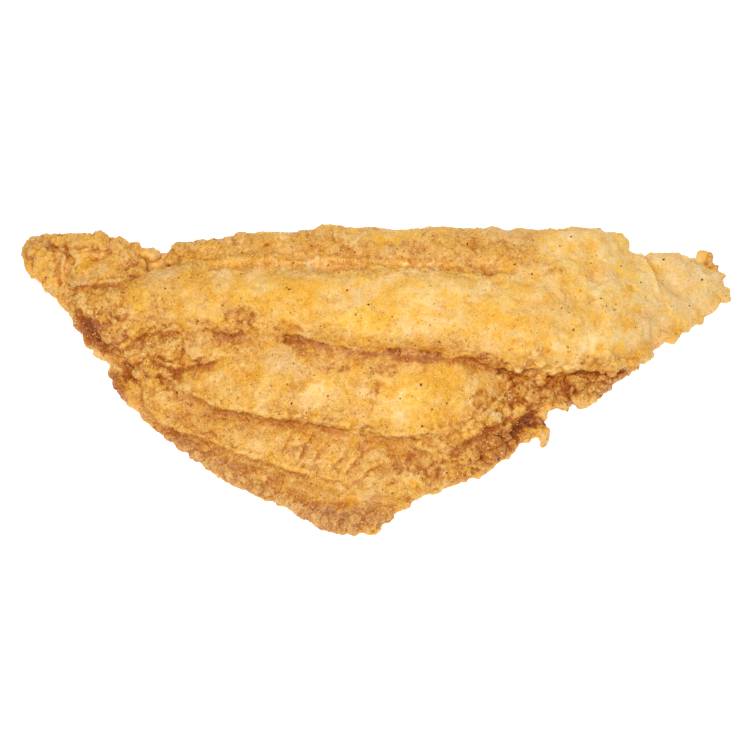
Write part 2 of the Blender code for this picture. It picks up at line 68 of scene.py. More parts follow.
# Everything in this dictionary is in millimetres, with X along the fillet and Z up.
fillet = {
    "seed": 7,
    "slabRim": 3.2,  # height of the slab's middle plane at its rim
    "floorBite": 1.7,  # how far the soft underside is pressed flat
    "fuseVoxel": 0.7,  # grain of the skin that fuses the pieces
    "skinVoxel": 0.5,  # grain of the skin that takes the crust
    "rimBeads": (3.4, 0.8, 1.6),  # spacing, least and most radius
    # name, size of the features, depth
    "relief": [("swells", 13.0, 3.6), ("flakes", 5.5, 1.8), ("crust", 2.4, 0.9)],
    # x, near edge y, far edge y, top height
    "slab": [
        (-107.6, 40, 47, 6), (-103, 35.5, 48.3, 7.5), (-96, 28.5, 49, 8), (-90.5, 21, 48.8, 8),
        (-85, 13.8, 47.5, 7.5), (-80, 8.3, 46, 7), (-77, 0.8, 44, 6), (-70, -7.3, 42.5, 5),
        (-60.5, -16.8, 42, 4.8), (-51, -23, 42.5, 4.8), (-41.5, -28.8, 43.5, 4.8),
        (-32, -33.5, 43.8, 4.8), (-23, -39, 44, 4.8), (-15, -42.2, 44.5, 4.8),
        (-7, -44.6, 45, 4.8), (0, -44.6, 45, 4.8), (5.5, -39.5, 45, 5), (13, -35.2, 44.8, 5),
        (20, -32, 44.5, 5), (29, -28, 44, 5), (37.5, -22.7, 44, 5), (43, -17.5, 44, 5.2),
        (50, -11.5, 44, 6.5), (57, -5.5, 44.5, 7.2), (64, -3.8, 45.5, 7.8), (70, 1.5, 47, 8.2),
        (77, 7.6, 44, 8), (84, 13.2, 42.3, 8), (92, 19.5, 41.5, 7.8), (99, 24.6, 41.3, 7.2),
        (103.5, 28.8, 39, 6.5), (106.3, 32, 36.5, 5.5),
    ],
    # Lean, slope and squareness of the section, then stations along the middle line:
    # x, y, z, half width, half thickness.
    "folds": {
        "loin": (0.3, 0, 2.3, [
            (-92, 25.5, 5.5, 6, 5), (-85, 24.5, 7.5, 8.8, 6), (-72, 24.8, 9.5, 10.3, 8),
            (-58, 25, 11.5, 10.7, 9.3), (-40, 23.4, 13.3, 11, 10.2), (-22, 22.2, 14.5, 12.2, 11),
            (-4, 20.8, 15, 13.2, 11.5), (13, 20.1, 15.3, 13.9, 11.8), (31, 18.1, 15.3, 14.5, 11.8),
            (49, 17, 14.5, 15.8, 11.3), (62, 18.7, 13, 16.9, 10.3), (72, 21.8, 11, 19, 8.8),
            (79, 24.3, 9, 17, 7), (84, 24.5, 7.5, 13.5, 5.8), (90, 23.2, 6.2, 8.5, 4.6),
            (96, 23.5, 5, 4.5, 3.6), (100, 25, 4.5, 2.5, 2.8),
        ]),
        "backStrip": (-0.1, -0.15, 2.4, [
            (-61, 38.5, 8, 5, 5.5), (-43, 38.4, 10.5, 7.8, 7.5), (-22, 38.6, 12, 7.9, 8),
            (-4, 38.8, 12.5, 7.9, 8.5), (14, 38.3, 13, 8, 8.7), (31, 37.6, 13, 8.5, 8.7),
            (49, 36.8, 12.5, 9.2, 8.7), (62, 37.8, 11.3, 9.6, 8.3), (70, 39.6, 9.8, 9.4, 7.2),
            (75.5, 40, 8.4, 8.6, 6),
        ]),
        "leftFill": (0, 0, 2.2, [
            (-58, 15.5, 11.5, 4, 3.2), (-50, 14, 13.5, 4.5, 3.6), (-40, 12.6, 14.8, 4.5, 3.6),
            (-31, 11.2, 15, 3.5, 3), (-26, 10.6, 14.5, 2, 2),
        ]),
        "backFill": (0, 0, 2.4, [
            (38, 29.5, 12.6, 6, 8), (50, 29.5, 13, 8.5, 9.2), (62, 30.5, 11.8, 9, 9),
            (72, 32.5, 9.4, 8.5, 7.4), (79, 32.5, 7.5, 6.5, 5.2),
        ]),
        "tail": (0.1, 0.05, 2.6, [
            (72, 30, 4, 10, 4.5), (84, 29.5, 4.8, 13, 4.8), (95, 31.2, 4.6, 10.5, 4.6),
            (101.5, 33, 4.2, 7.3, 4), (105.3, 34.2, 3.8, 4, 3),
        ]),
        "secondLobe": (0.4, 0.15, 2.9, [
            (-58.5, 1, 7.5, 3.5, 3.6), (-50, 3, 9.7, 10, 5.2), (-40, 3, 11.2, 12.8, 6.2),
            (-30, 2, 12, 13.8, 6.8), (-17, 1.1, 12.4, 14.2, 6.8), (-3, -0.4, 11.8, 14.9, 6.4),
            (12, -2.4, 12.2, 15.6, 6.8), (25, -3, 11.4, 14, 6.2), (33.5, -1.5, 10, 9.5, 5.2),
            (38, 0, 9, 5, 4.2),
        ]),
        "lobeRing": (0.35, 0.12, 2.6, [
            (4, -14, 6, 7, 3.6), (15, -15, 6.6, 8.5, 4), (26, -14, 7, 9, 4.2),
            (34, -8.5, 7, 8.5, 4.4), (38.5, -1, 7, 6.5, 4.5), (41, 7, 7, 5, 4.5),
        ]),
        "thirdBand": (0.4, 0.1, 2.6, [
            (-74, 3, 4.8, 3.5, 3), (-68, 0.5, 5.6, 7, 3.4), (-58, -4.5, 6.2, 9.5, 3.7),
            (-46, -8.5, 6.4, 11.5, 3.8), (-32, -13, 6.4, 13, 3.8), (-17, -17.5, 6.2, 13.5, 3.7),
            (-2, -21, 5.8, 14, 3.5), (12, -22, 5.2, 11.5, 3), (26, -19.5, 4.5, 8.5, 2.8),
            (36, -15, 4, 5, 2.6),
        ]),
        "crustShelf": (0.1, 0.1, 3.2, [
            (38, -12, 5.4, 6, 3.8), (48, -3.4, 7, 8.6, 5), (58, 1.8, 7.6, 8, 5.2),
            (68, 6.6, 7.2, 7.4, 4.8), (76, 11, 5.5, 5, 4),
        ]),
        "outerBand": (0.2, 0.06, 2.6, [
            (-74.5, 2.5, 3.4, 3, 2.6), (-69, -3, 3.2, 5, 2.5), (-59, -10.5, 3.1, 6, 2.4),
            (-48, -17, 3, 7, 2.4), (-36, -23.5, 3, 8, 2.4), (-21, -31.5, 3, 8.5, 2.5),
            (-8, -37, 3.1, 8, 2.6), (0, -38.5, 3.1, 5.5, 2.6),
        ]),
        "headLump": (0.35, 0.05, 2.5, [
            (-93, 32.5, 7.5, 3, 3.5), (-86, 34, 9.3, 5.2, 4.3), (-78, 35.5, 10, 5.6, 4.5),
            (-69, 38, 9.3, 3.5, 3.8),
        ]),
    },
    # Rows of knobs along the lips: spacing, least and most radius.
    "hems": {
        "loin": (4.2, 0.9, 1.5), "secondLobe": (2.8, 0.9, 1.5), "lobeRing": (2.6, 1.1, 1.8),
        "thirdBand": (3, 0.8, 1.3),
    },
    # x, y, z, radius along x, y and z, turn about the vertical in degrees
    "lumps": {
        "creaseFill": [(37.5, 4.2, 8, 5, 4, 4.2, 0)],
        "tip": [
            (-98.8, 39.8, 5.6, 7.2, 6.2, 4.8, 35), (-94, 44.6, 8, 3.1, 3, 3.2, 0),
            (-89, 43.4, 9.4, 3.6, 3.6, 3.8, 20), (-83.2, 42.7, 9.4, 3.6, 3.6, 3.8, -10),
            (-78, 43, 8.6, 3.4, 3.2, 3.4, 0), (-88, 40, 8.6, 3, 2.6, 3, 40),
            (-75, 41.3, 6.5, 6.5, 3, 3.6, 12),
        ],
        "backEdge": [
            (-73, 44, 6, 1.6, 2.8, 1.8, 8), (-68, 42.3, 5.5, 2, 2, 2, 0),
            (-58.5, 40.3, 9, 4.2, 3.8, 4, 0),
        ],
        "cheek": [
            (-81.5, 20, 9.5, 6.8, 5.2, 5.4, -20), (-75.4, 14.6, 8.6, 7, 4.4, 4.8, -12),
            (-61.8, 10.8, 10.3, 6.6, 6, 5.8, 25), (-56.7, 12, 13.4, 1.6, 4.4, 3.2, -10),
            (-48.5, 11.3, 10.6, 9.5, 5.8, 6.4, 10),
        ],
        "lobeBulge": [(12.5, -5.5, 13.4, 12, 8, 7.6, -4)],
        "knots": [
            (-70.4, 8.2, 8.4, 2.8, 2.5, 2.7, 0), (-66.4, 6.6, 10, 3.1, 2.7, 2.8, 30),
            (-68.4, 3.6, 8.6, 2.7, 2.5, 2.7, 0), (-62.6, 3.8, 10, 2.9, 2.6, 2.7, 0),
            (-65, 0.9, 8.8, 2.7, 2.4, 2.6, 50), (-60.9, 0.5, 8.8, 2.4, 2.3, 2.4, 0),
            (-58.4, 3.8, 9.6, 2.5, 2.3, 2.4, 0), (-69.5, 12, 7, 5, 4, 4.4, -20),
            (-76, 0.8, 4.2, 2.6, 3.4, 3.2, 0),
        ],
        "nearCorner": [
            (-11.5, -43, 3.2, 5.2, 2.7, 2.8, -6), (-2.5, -43.6, 3.3, 5.8, 2.9, 3, 4),
            (2.5, -40, 5.4, 3.6, 3.4, 2.6, 30),
        ],
        "tail": [
            (72.6, 44.2, 7.6, 5.6, 5, 4.6, -20), (101, 42, 5.3, 2.5, 2.3, 2, 0),
            (106.6, 29.8, 3.4, 1.7, 2.4, 1.6, 0), (79, 7.2, 4, 1.5, 1.7, 1.4, 0),
        ],
        "crustShelf": [
            (48, -14.4, 4.2, 5, 1.7, 1.8, 14), (50.4, -16.4, 3.8, 1.4, 2.4, 1.3, -15),
            (40.5, -18.5, 4.2, 2.8, 2.6, 2.8, 0), (45.5, -8.5, 7.5, 3.4, 2.2, 2.6, 40),
            (60.5, -3.4, 5.4, 4.2, 2.6, 3.2, 5), (66.5, 0.6, 6.4, 3.4, 2.6, 3.2, 30),
            (55, -4.4, 5.6, 3, 2.5, 3, 0),
        ],
    },
    # middle x, y, half sizes along x and y, count, least and most radius
    "cragPatches": {
        "tip": (-101, 40, 5, 5.5, 8, 1, 1.8), "backCorner": (-84, 44, 13, 3.5, 14, 1.1, 1.9),
        "leftHollow": (-84, 14.5, 5, 4, 8, 1, 1.8), "shoulder": (-66, 8, 9, 6, 12, 1, 1.8),
        "nearCorner": (-4, -41, 11, 3.5, 14, 1, 2), "underLobe": (33, -17.5, 12, 5, 34, 1.3, 2.5),
        "besideRing": (45, -4, 5, 8, 22, 1.3, 2.4), "shelfLeft": (50, -5.5, 6, 3, 16, 1.4, 2.4),
        "shelfMiddle": (60, -1.8, 7, 2.6, 20, 1.4, 2.6),
        "shelfRight": (67.5, 2, 5, 2.2, 12, 1.3, 2.3),
        "tailTip": (103.5, 34.5, 3, 6.5, 8, 0.9, 1.6),
    },
}


# A smooth curve through the stations, with perSpan points from each to the next.
def catmullRom(stations, perSpan):
    table = np.array(stations, float)
    padded = np.vstack([2 * table[0] - table[1], table, 2 * table[-1] - table[-2]])
    rows = []
    for i in range(1, len(padded) - 2):
        before, start, end, after = padded[i - 1 : i + 3]
        for t in np.arange(perSpan) / perSpan:
            rows.append(
                start
                + 0.5 * t * (end - before)
                + t * t * (before - 2.5 * start + 2 * end - 0.5 * after)
                + t**3 * (1.5 * (start - end) + 0.5 * (after - before))
            )
    return np.array([*rows, table[-1]])


# How much of its full size each section has, so that a roll closes in round ends.
def roundEnds(centres, halfWidths, least):
    steps = np.linalg.norm(np.diff(centres, axis=0), axis=1)
    along = np.concatenate([[0], np.cumsum(steps)])
    ends = np.minimum(along / halfWidths[0], (along[-1] - along) / halfWidths[-1])
    return np.maximum(np.sqrt(1 - (1 - np.clip(ends, 0.0, 1.0)) ** 2), least)


# A closed skin through rings of equal length, with a fan at each end.
def loft(name, rings, collection):
    count, around = rings.shape[:2]
    points = list(rings.reshape(-1, 3))
    faces = []
    for i in range(0, (count - 1) * around, around):
        for j in range(around):
            k = (j + 1) % around
            faces.append((i + j, i + k, i + around + k, i + around + j))
    for ring, flip in ((0, True), (count - 1, False)):
        points.append(rings[ring].mean(axis=0))
        for j in range(around):
            a, b = ring * around + j, ring * around + (j + 1) % around
            faces.append((b, a, len(points) - 1) if flip else (a, b, len(points) - 1))
    mesh = bpy.data.meshes.new(name)
    mesh.from_pydata([tuple(p) for p in points], [], faces)
    mesh.validate()
    obj = bpy.data.objects.new(name, mesh)
    collection.objects.link(obj)
    return obj


# Points across and up round a section that is squarer the higher its power.
def ovals(around, power):
    for j in range(around):
        angle = 2 * math.pi * j / around
        yield j, *(
            math.copysign(abs(part) ** (2 / power), part)
            for part in (math.cos(angle), math.sin(angle))
        )


def makeSlab(collection, around=40, power=3.2):
    table = catmullRom(fillet["slab"], 4)
    middle, half = (table[:, 1] + table[:, 2]) / 2, (table[:, 2] - table[:, 1]) / 2
    ends = np.full(len(table), 4.0)
    size = roundEnds(np.stack([table[:, 0], middle], axis=1), ends, least=0.3)
    rim, bite = fillet["slabRim"], fillet["floorBite"]
    rings = np.empty((len(table), around, 3))
    for i, (x, _, _, top) in enumerate(table):
        for j, across, up in ovals(around, power):
            height = top - rim if up > 0 else rim + bite
            rings[i, j] = (x, middle[i] + across * half[i] * size[i], rim + up * height * size[i])
    return loft("slab", rings * mm, collection)


# Middle line, half widths, half thicknesses and sideways directions of a fold.
def foldSections(stations, perSpan=5):
    table = catmullRom(stations, perSpan)
    tangent = np.gradient(table[:, :2], axis=0)
    tangent /= np.linalg.norm(tangent, axis=1)[:, None]
    sideways = np.stack([-tangent[:, 1], tangent[:, 0]], axis=1)
    return table[:, :3], table[:, 3], table[:, 4], sideways


def makeFold(name, spec, collection, around=32):
    lean, slope, power, stations = spec
    centres, halfWidth, halfHeight, sideways = foldSections(stations)
    size = roundEnds(centres, halfWidth, least=0.12)
    rings = np.empty((len(centres), around, 3))
    for i, centre in enumerate(centres):
        for j, across, up in ovals(around, power):
            offset = across * halfWidth[i] * size[i]
            shift = lean * up * halfHeight[i] * size[i]
            rings[i, j, :2] = centre[:2] + sideways[i] * (offset - shift)
            rings[i, j, 2] = centre[2] + up * halfHeight[i] * size[i] + slope * offset
    return loft(name, rings * mm, collection)


# One uneven lump of breading: a squashed, turned icosphere.
def makeLump(place, radii, turn, rng, collection, rough=0.1):
    ball = bmesh.new()
    bmesh.ops.create_icosphere(ball, subdivisions=2, radius=1.0)
    for vertex in ball.verts:
        vertex.co *= rng.uniform(1 - rough, 1 + rough)
    size = Matrix.Diagonal([r * mm for r in radii]).to_4x4()
    ball.transform(Matrix.Translation(Vector(place) * mm) @ Euler(turn).to_matrix().to_4x4() @ size)
    mesh = bpy.data.meshes.new("lump")
    ball.to_mesh(mesh)
    ball.free()
    collection.objects.link(bpy.data.objects.new("lump", mesh))


def makeKnob(place, least, most, rng, collection):
    radius = rng.uniform(least, most)
    radii = [radius * rng.uniform(0.85, 1.25) for _ in range(3)]
    turn = (rng.uniform(-0.5, 0.5), rng.uniform(-0.5, 0.5), rng.uniform(0, math.pi))
    makeLump((place[0], place[1], max(place[2], radii[2])), radii, turn, rng, collection)


# Numbers of the points of a line at which knobs stand, about spacing apart.
def unevenSteps(line, first, last, spacing, unevenness, rng):
    travelled = 0.0
    for i in range(first, last):
        travelled += np.linalg.norm(line[i] - line[i - 1])
        if travelled >= spacing * rng.uniform(*unevenness):
            travelled = 0.0
            yield i


# Rows of knobs along the near lips of the folds, so that the lips are scalloped.
def addHems(collection, rng):
    for name, (spacing, least, most) in fillet["hems"].items():
        _, slope, _, stations = fillet["folds"][name]
        centres, halfWidth, halfHeight, sideways = foldSections(stations)
        for i in unevenSteps(centres, 3, len(centres) - 3, spacing, (0.6, 1.5), rng):
            reach = halfWidth[i] - rng.uniform(-0.2, 0.7)
            edge = centres[i, :2] - sideways[i] * reach
            height = centres[i, 2] - slope * reach + halfHeight[i] * rng.uniform(-0.1, 0.3)
            makeKnob((*edge, height), least, most, rng, collection)


def addRimBeads(collection, rng):
    spacing, least, most = fillet["rimBeads"]
    table = catmullRom(fillet["slab"], 8)
    for column, inset in ((1, 1.0), (2, -1.0)):
        rim = table[:, [0, column]]
        for i in unevenSteps(rim, 1, len(rim), spacing, (0.5, 1.6), rng):
            edge = rim[i, 1] + inset * rng.uniform(0.5, 1.5)
            makeKnob((rim[i, 0], edge, rng.uniform(2.5, 6.0)), least, most, rng, collection)


# Knobs scattered over the craggy patches, each set on what lies under it.
def addCrags(collection, surface, rng, above=60.0):
    for x, y, halfX, halfY, count, least, most in fillet["cragPatches"].values():
        for _ in range(count):
            angle, reach = rng.uniform(0, 2 * math.pi), math.sqrt(rng.random())
            spotX = x + halfX * reach * math.cos(angle)
            spotY = y + halfY * reach * math.sin(angle)
            hit = surface.ray_cast(Vector((spotX, spotY, above)) * mm, Vector((0, 0, -1)))[0]
            if hit is not None:
                sink = rng.uniform(-0.5, 0.5)
                makeKnob((spotX, spotY, hit.z / mm + sink), least, most, rng, collection)


# A tree for rays, of several closed meshes taken together.
def raysTree(objects):
    both = bmesh.new()
    for obj in objects:
        both.from_mesh(obj.data)
    tree = BVHTree.FromBMesh(both)
    both.free()
    return tree


def addModifier(obj, name, kind, **settings):
    modifier = obj.modifiers.new(name, kind)
    for setting, value in settings.items():
        setattr(modifier, setting, value)


def applyModifiers(obj):
    bpy.context.view_layer.update()
    evaluated = obj.evaluated_get(bpy.context.evaluated_depsgraph_get())
    mesh = bpy.data.meshes.new_from_object(evaluated)
    obj.modifiers.clear()
    obj.data = mesh


def buildForm():
    rng = random.Random(fillet["seed"])
    pieces = bpy.data.collections.new("foldsAndKnobs")
    bpy.context.scene.collection.children.link(pieces)
    body = makeSlab(bpy.context.scene.collection)
    for name, spec in fillet["folds"].items():
        makeFold(name, spec, pieces)
    for group in fillet["lumps"].values():
        for x, y, z, *radii, turn in group:
            makeLump((x, y, z), radii, (0, 0, math.radians(turn)), rng, pieces, rough=0.06)
    surface = raysTree([body, *pieces.objects])
    addHems(pieces, rng)
    addRimBeads(pieces, rng)
    addCrags(pieces, surface, rng)
    addModifier(body, "joinFolds", "BOOLEAN", operation="UNION", operand_type="COLLECTION",
                collection=pieces, solver="MANIFOLD")
    addModifier(body, "fuse", "REMESH", mode="VOXEL", voxel_size=fillet["fuseVoxel"] * mm)
    for name, scale, depth in fillet["relief"]:
        texture = bpy.data.textures.new(name, "CLOUDS")
        texture.noise_scale = scale * mm
        addModifier(body, name, "DISPLACE", texture=texture, texture_coords="GLOBAL",
                    mid_level=0.5, strength=depth * mm)
    addModifier(body, "skin", "REMESH", mode="VOXEL", voxel_size=fillet["skinVoxel"] * mm)
    applyModifiers(body)
    for obj in list(pieces.objects):
        bpy.data.objects.remove(obj)
    bpy.data.collections.remove(pieces)
    return body


# Cuts off what lies below the table, so that the fillet rests on a flat underside.
def pressFlat(obj, side=300.0):
    bpy.ops.mesh.primitive_cube_add(size=side * mm, location=(0, 0, side / 2 * mm))
    keep = bpy.context.object
    addModifier(obj, "pressFlat", "BOOLEAN", operation="INTERSECT", object=keep, solver="MANIFOLD")
    applyModifiers(obj)
    bpy.data.objects.remove(keep)
    flat = bmesh.new()
    flat.from_mesh(obj.data)
    bmesh.ops.triangulate(flat, faces=flat.faces)
    flat.to_mesh(obj.data)
    flat.free()


# Places read off the photograph are in its pixels: across, down, half length, half width,
# turn in degrees clockwise, and a value.
crust = {
    "smooth": 0.08,  # how craggy the breading is where no place below says so
    "places": {
        "tip": (62, 268, 42, 28, 35, 0.32), "tipCrumbs": (95, 243, 46, 12, 5, 0.45),
        "backLeft": (185, 255, 60, 12, 0, 0.42), "backStrip": (420, 243, 220, 16, 0, 0.16),
        "loinFarEdge": (350, 266, 150, 7, 3, 0.38), "hollow": (90, 328, 28, 20, 50, 0.85),
        "cheek": (140, 335, 50, 22, 15, 0.45), "cheekTop": (128, 293, 45, 18, 10, 0.3),
        "knots": (152, 372, 26, 18, 15, 0.4), "shoulder": (215, 345, 60, 13, 0, 0.3),
        "shelf": (572, 388, 76, 15, -8, 0.3), "besideLobe": (512, 402, 14, 42, 22, 0.4),
        "underRing": (478, 450, 58, 20, -28, 0.4), "thirdRight": (440, 472, 60, 22, -20, 0.55),
        "nearCorner": (345, 522, 50, 13, 5, 0.55), "outerBand": (240, 474, 130, 12, 27, 0.5),
        "thirdBand": (270, 445, 120, 22, 18, 0.22), "tailTip": (714, 275, 12, 30, 15, 0.5),
    },
    # Spacing, height where the breading is smooth, height where it is craggy. Pits go down.
    "knobs": [(4.6, 0.22, 0.9), (2.6, 0.15, 0.5), (1.5, 0.09, 0.3)],
    "pits": (4.6, 0.15, 0.6),
    "lipBead": 0.36,  # height of the lumps along a lip, as a share of their radius
    # How the lips stray as torn breading does: mm between turns, reach in pixels.
    "waver": (4.5, 3.2),
    "scallop": (1.8, 2.6),
    # How the placed lumps are misshapen: mm between turns, reach as a share of the radius.
    "shake": [(2.2, 0.6), (0.9, 0.2)],
    # Where the form swells or sinks as a whole: the last value is how far, in mm.
    "swells": {
        "tipValley": (57, 267, 7, 22, 8, 0.6), "lensTop": (92, 255, 10, 4, 0, 0.6),
        "lensRoot": (67, 257, 8, 9, 0, 0.5), "tipTop": (59, 231, 8, 5, 0, -1.8),
        "rimByHollow": (77, 328, 24, 5, 58, 1.3), "rimAboveNotch": (100, 355, 8, 5, 20, 1),
        "notch": (104, 367, 5, 4, 20, -1.7), "loinEnd": (499, 369, 9, 4, 25, 0.8),
        "underLoin": (578, 380, 48, 4, -5, 0.5), "shelfBack": (556, 412, 9, 5, -25, -1.6),
        "shelfNotch": (572, 406, 5, 4, 0, -1.3), "spurHollow": (531, 417, 12, 6, -15, -1),
        "nearRim": (281, 510, 14, 4, 30, -1),
    },
    # Lumps that stand out of the breading in the photograph: their height as a share of
    # their radius, then across, down and radius in pixels.
    "knuckles": {
        "tip": (0.24, [
            (35, 250, 11), (43, 266, 13), (52, 281, 9), (37, 240, 8), (49, 241, 9), (58, 252, 8),
            (60, 291, 7), (62, 241, 7), (73, 243, 9), (86, 242, 10), (101, 241, 10), (114, 245, 8),
            (128, 243, 5), (124, 250, 6), (134, 250, 6), (145, 252, 6), (144, 263, 6),
            (152, 261, 8), (164, 258, 8),
        ]),
        "cheek": (0.22, [
            (68, 293, 8), (80, 298, 9), (93, 302, 10), (107, 305, 10), (118, 313, 9),
            (100, 290, 8), (115, 297, 9), (87, 311, 8), (103, 316, 8), (113, 333, 13),
            (103, 328, 7), (125, 328, 8), (133, 335, 9), (126, 343, 7), (100, 347, 7),
            (110, 353, 7), (122, 354, 7), (140, 345, 8), (148, 341, 8), (157, 340, 9),
            (170, 343, 12), (166, 354, 10), (178, 353, 7), (152, 350, 7), (195, 353, 8),
            (207, 352, 8), (219, 352, 8), (230, 350, 7),
        ]),
        "knots": (0.38, [
            (136, 361, 7), (146, 365, 8), (158, 364, 8), (167, 371, 9), (154, 374, 8),
            (142, 374, 7), (148, 383, 7), (160, 383, 7), (170, 380, 5), (116, 372, 7),
            (119, 383, 7), (126, 393, 7),
        ]),
        "besideLobe": (0.46, [
            (507, 372, 6), (508, 384, 7), (509, 398, 9), (505, 410, 9), (497, 419, 8),
            (487, 425, 8), (477, 431, 8), (467, 437, 7), (456, 440, 7), (520, 408, 7),
            (527, 414, 6), (516, 417, 5), (472, 451, 8), (482, 445, 8), (494, 441, 8),
            (503, 437, 7), (500, 449, 8), (508, 454, 7), (489, 455, 8), (478, 462, 8),
            (465, 459, 7), (466, 469, 7), (512, 443, 6), (524, 433, 6), (533, 429, 6),
            (541, 427, 6), (546, 433, 5), (547, 423, 4),
        ]),
        "shelf": (0.58, [
            (519, 379, 8), (521, 392, 8), (531, 384, 7), (535, 396, 10), (542, 381, 8),
            (548, 393, 8), (552, 383, 7), (558, 391, 8), (563, 401, 9), (563, 379, 8),
            (577, 381, 10), (583, 397, 12), (593, 388, 9), (589, 376, 9), (600, 377, 8),
            (604, 386, 7), (611, 374, 7), (620, 370, 6), (632, 367, 5), (546, 405, 7),
            (535, 407, 6),
        ]),
        "nearRim": (0.34, [
            (366, 527, 7), (352, 529, 6), (340, 531, 5), (327, 522, 7), (337, 524, 7),
            (349, 521, 8), (360, 515, 6), (372, 520, 8), (380, 517, 6), (316, 517, 7),
            (305, 512, 7), (298, 507, 7), (288, 499, 6), (278, 498, 7), (268, 492, 6),
            (258, 490, 5), (246, 482, 4), (236, 474, 5), (224, 467, 5), (196, 455, 5),
            (183, 447, 6), (170, 438, 5),
        ]),
        "backEdge": (0.32, [
            (180, 248, 8), (191, 246, 7), (202, 245, 7), (213, 244, 6), (228, 240, 5),
            (240, 238, 6), (258, 240, 5), (283, 236, 4), (302, 234, 5),
        ]),
        "tailTip": (0.4, [
            (702, 256, 6), (708, 262, 4), (720, 266, 4), (724, 275, 4), (725, 297, 5),
        ]),
    },
}

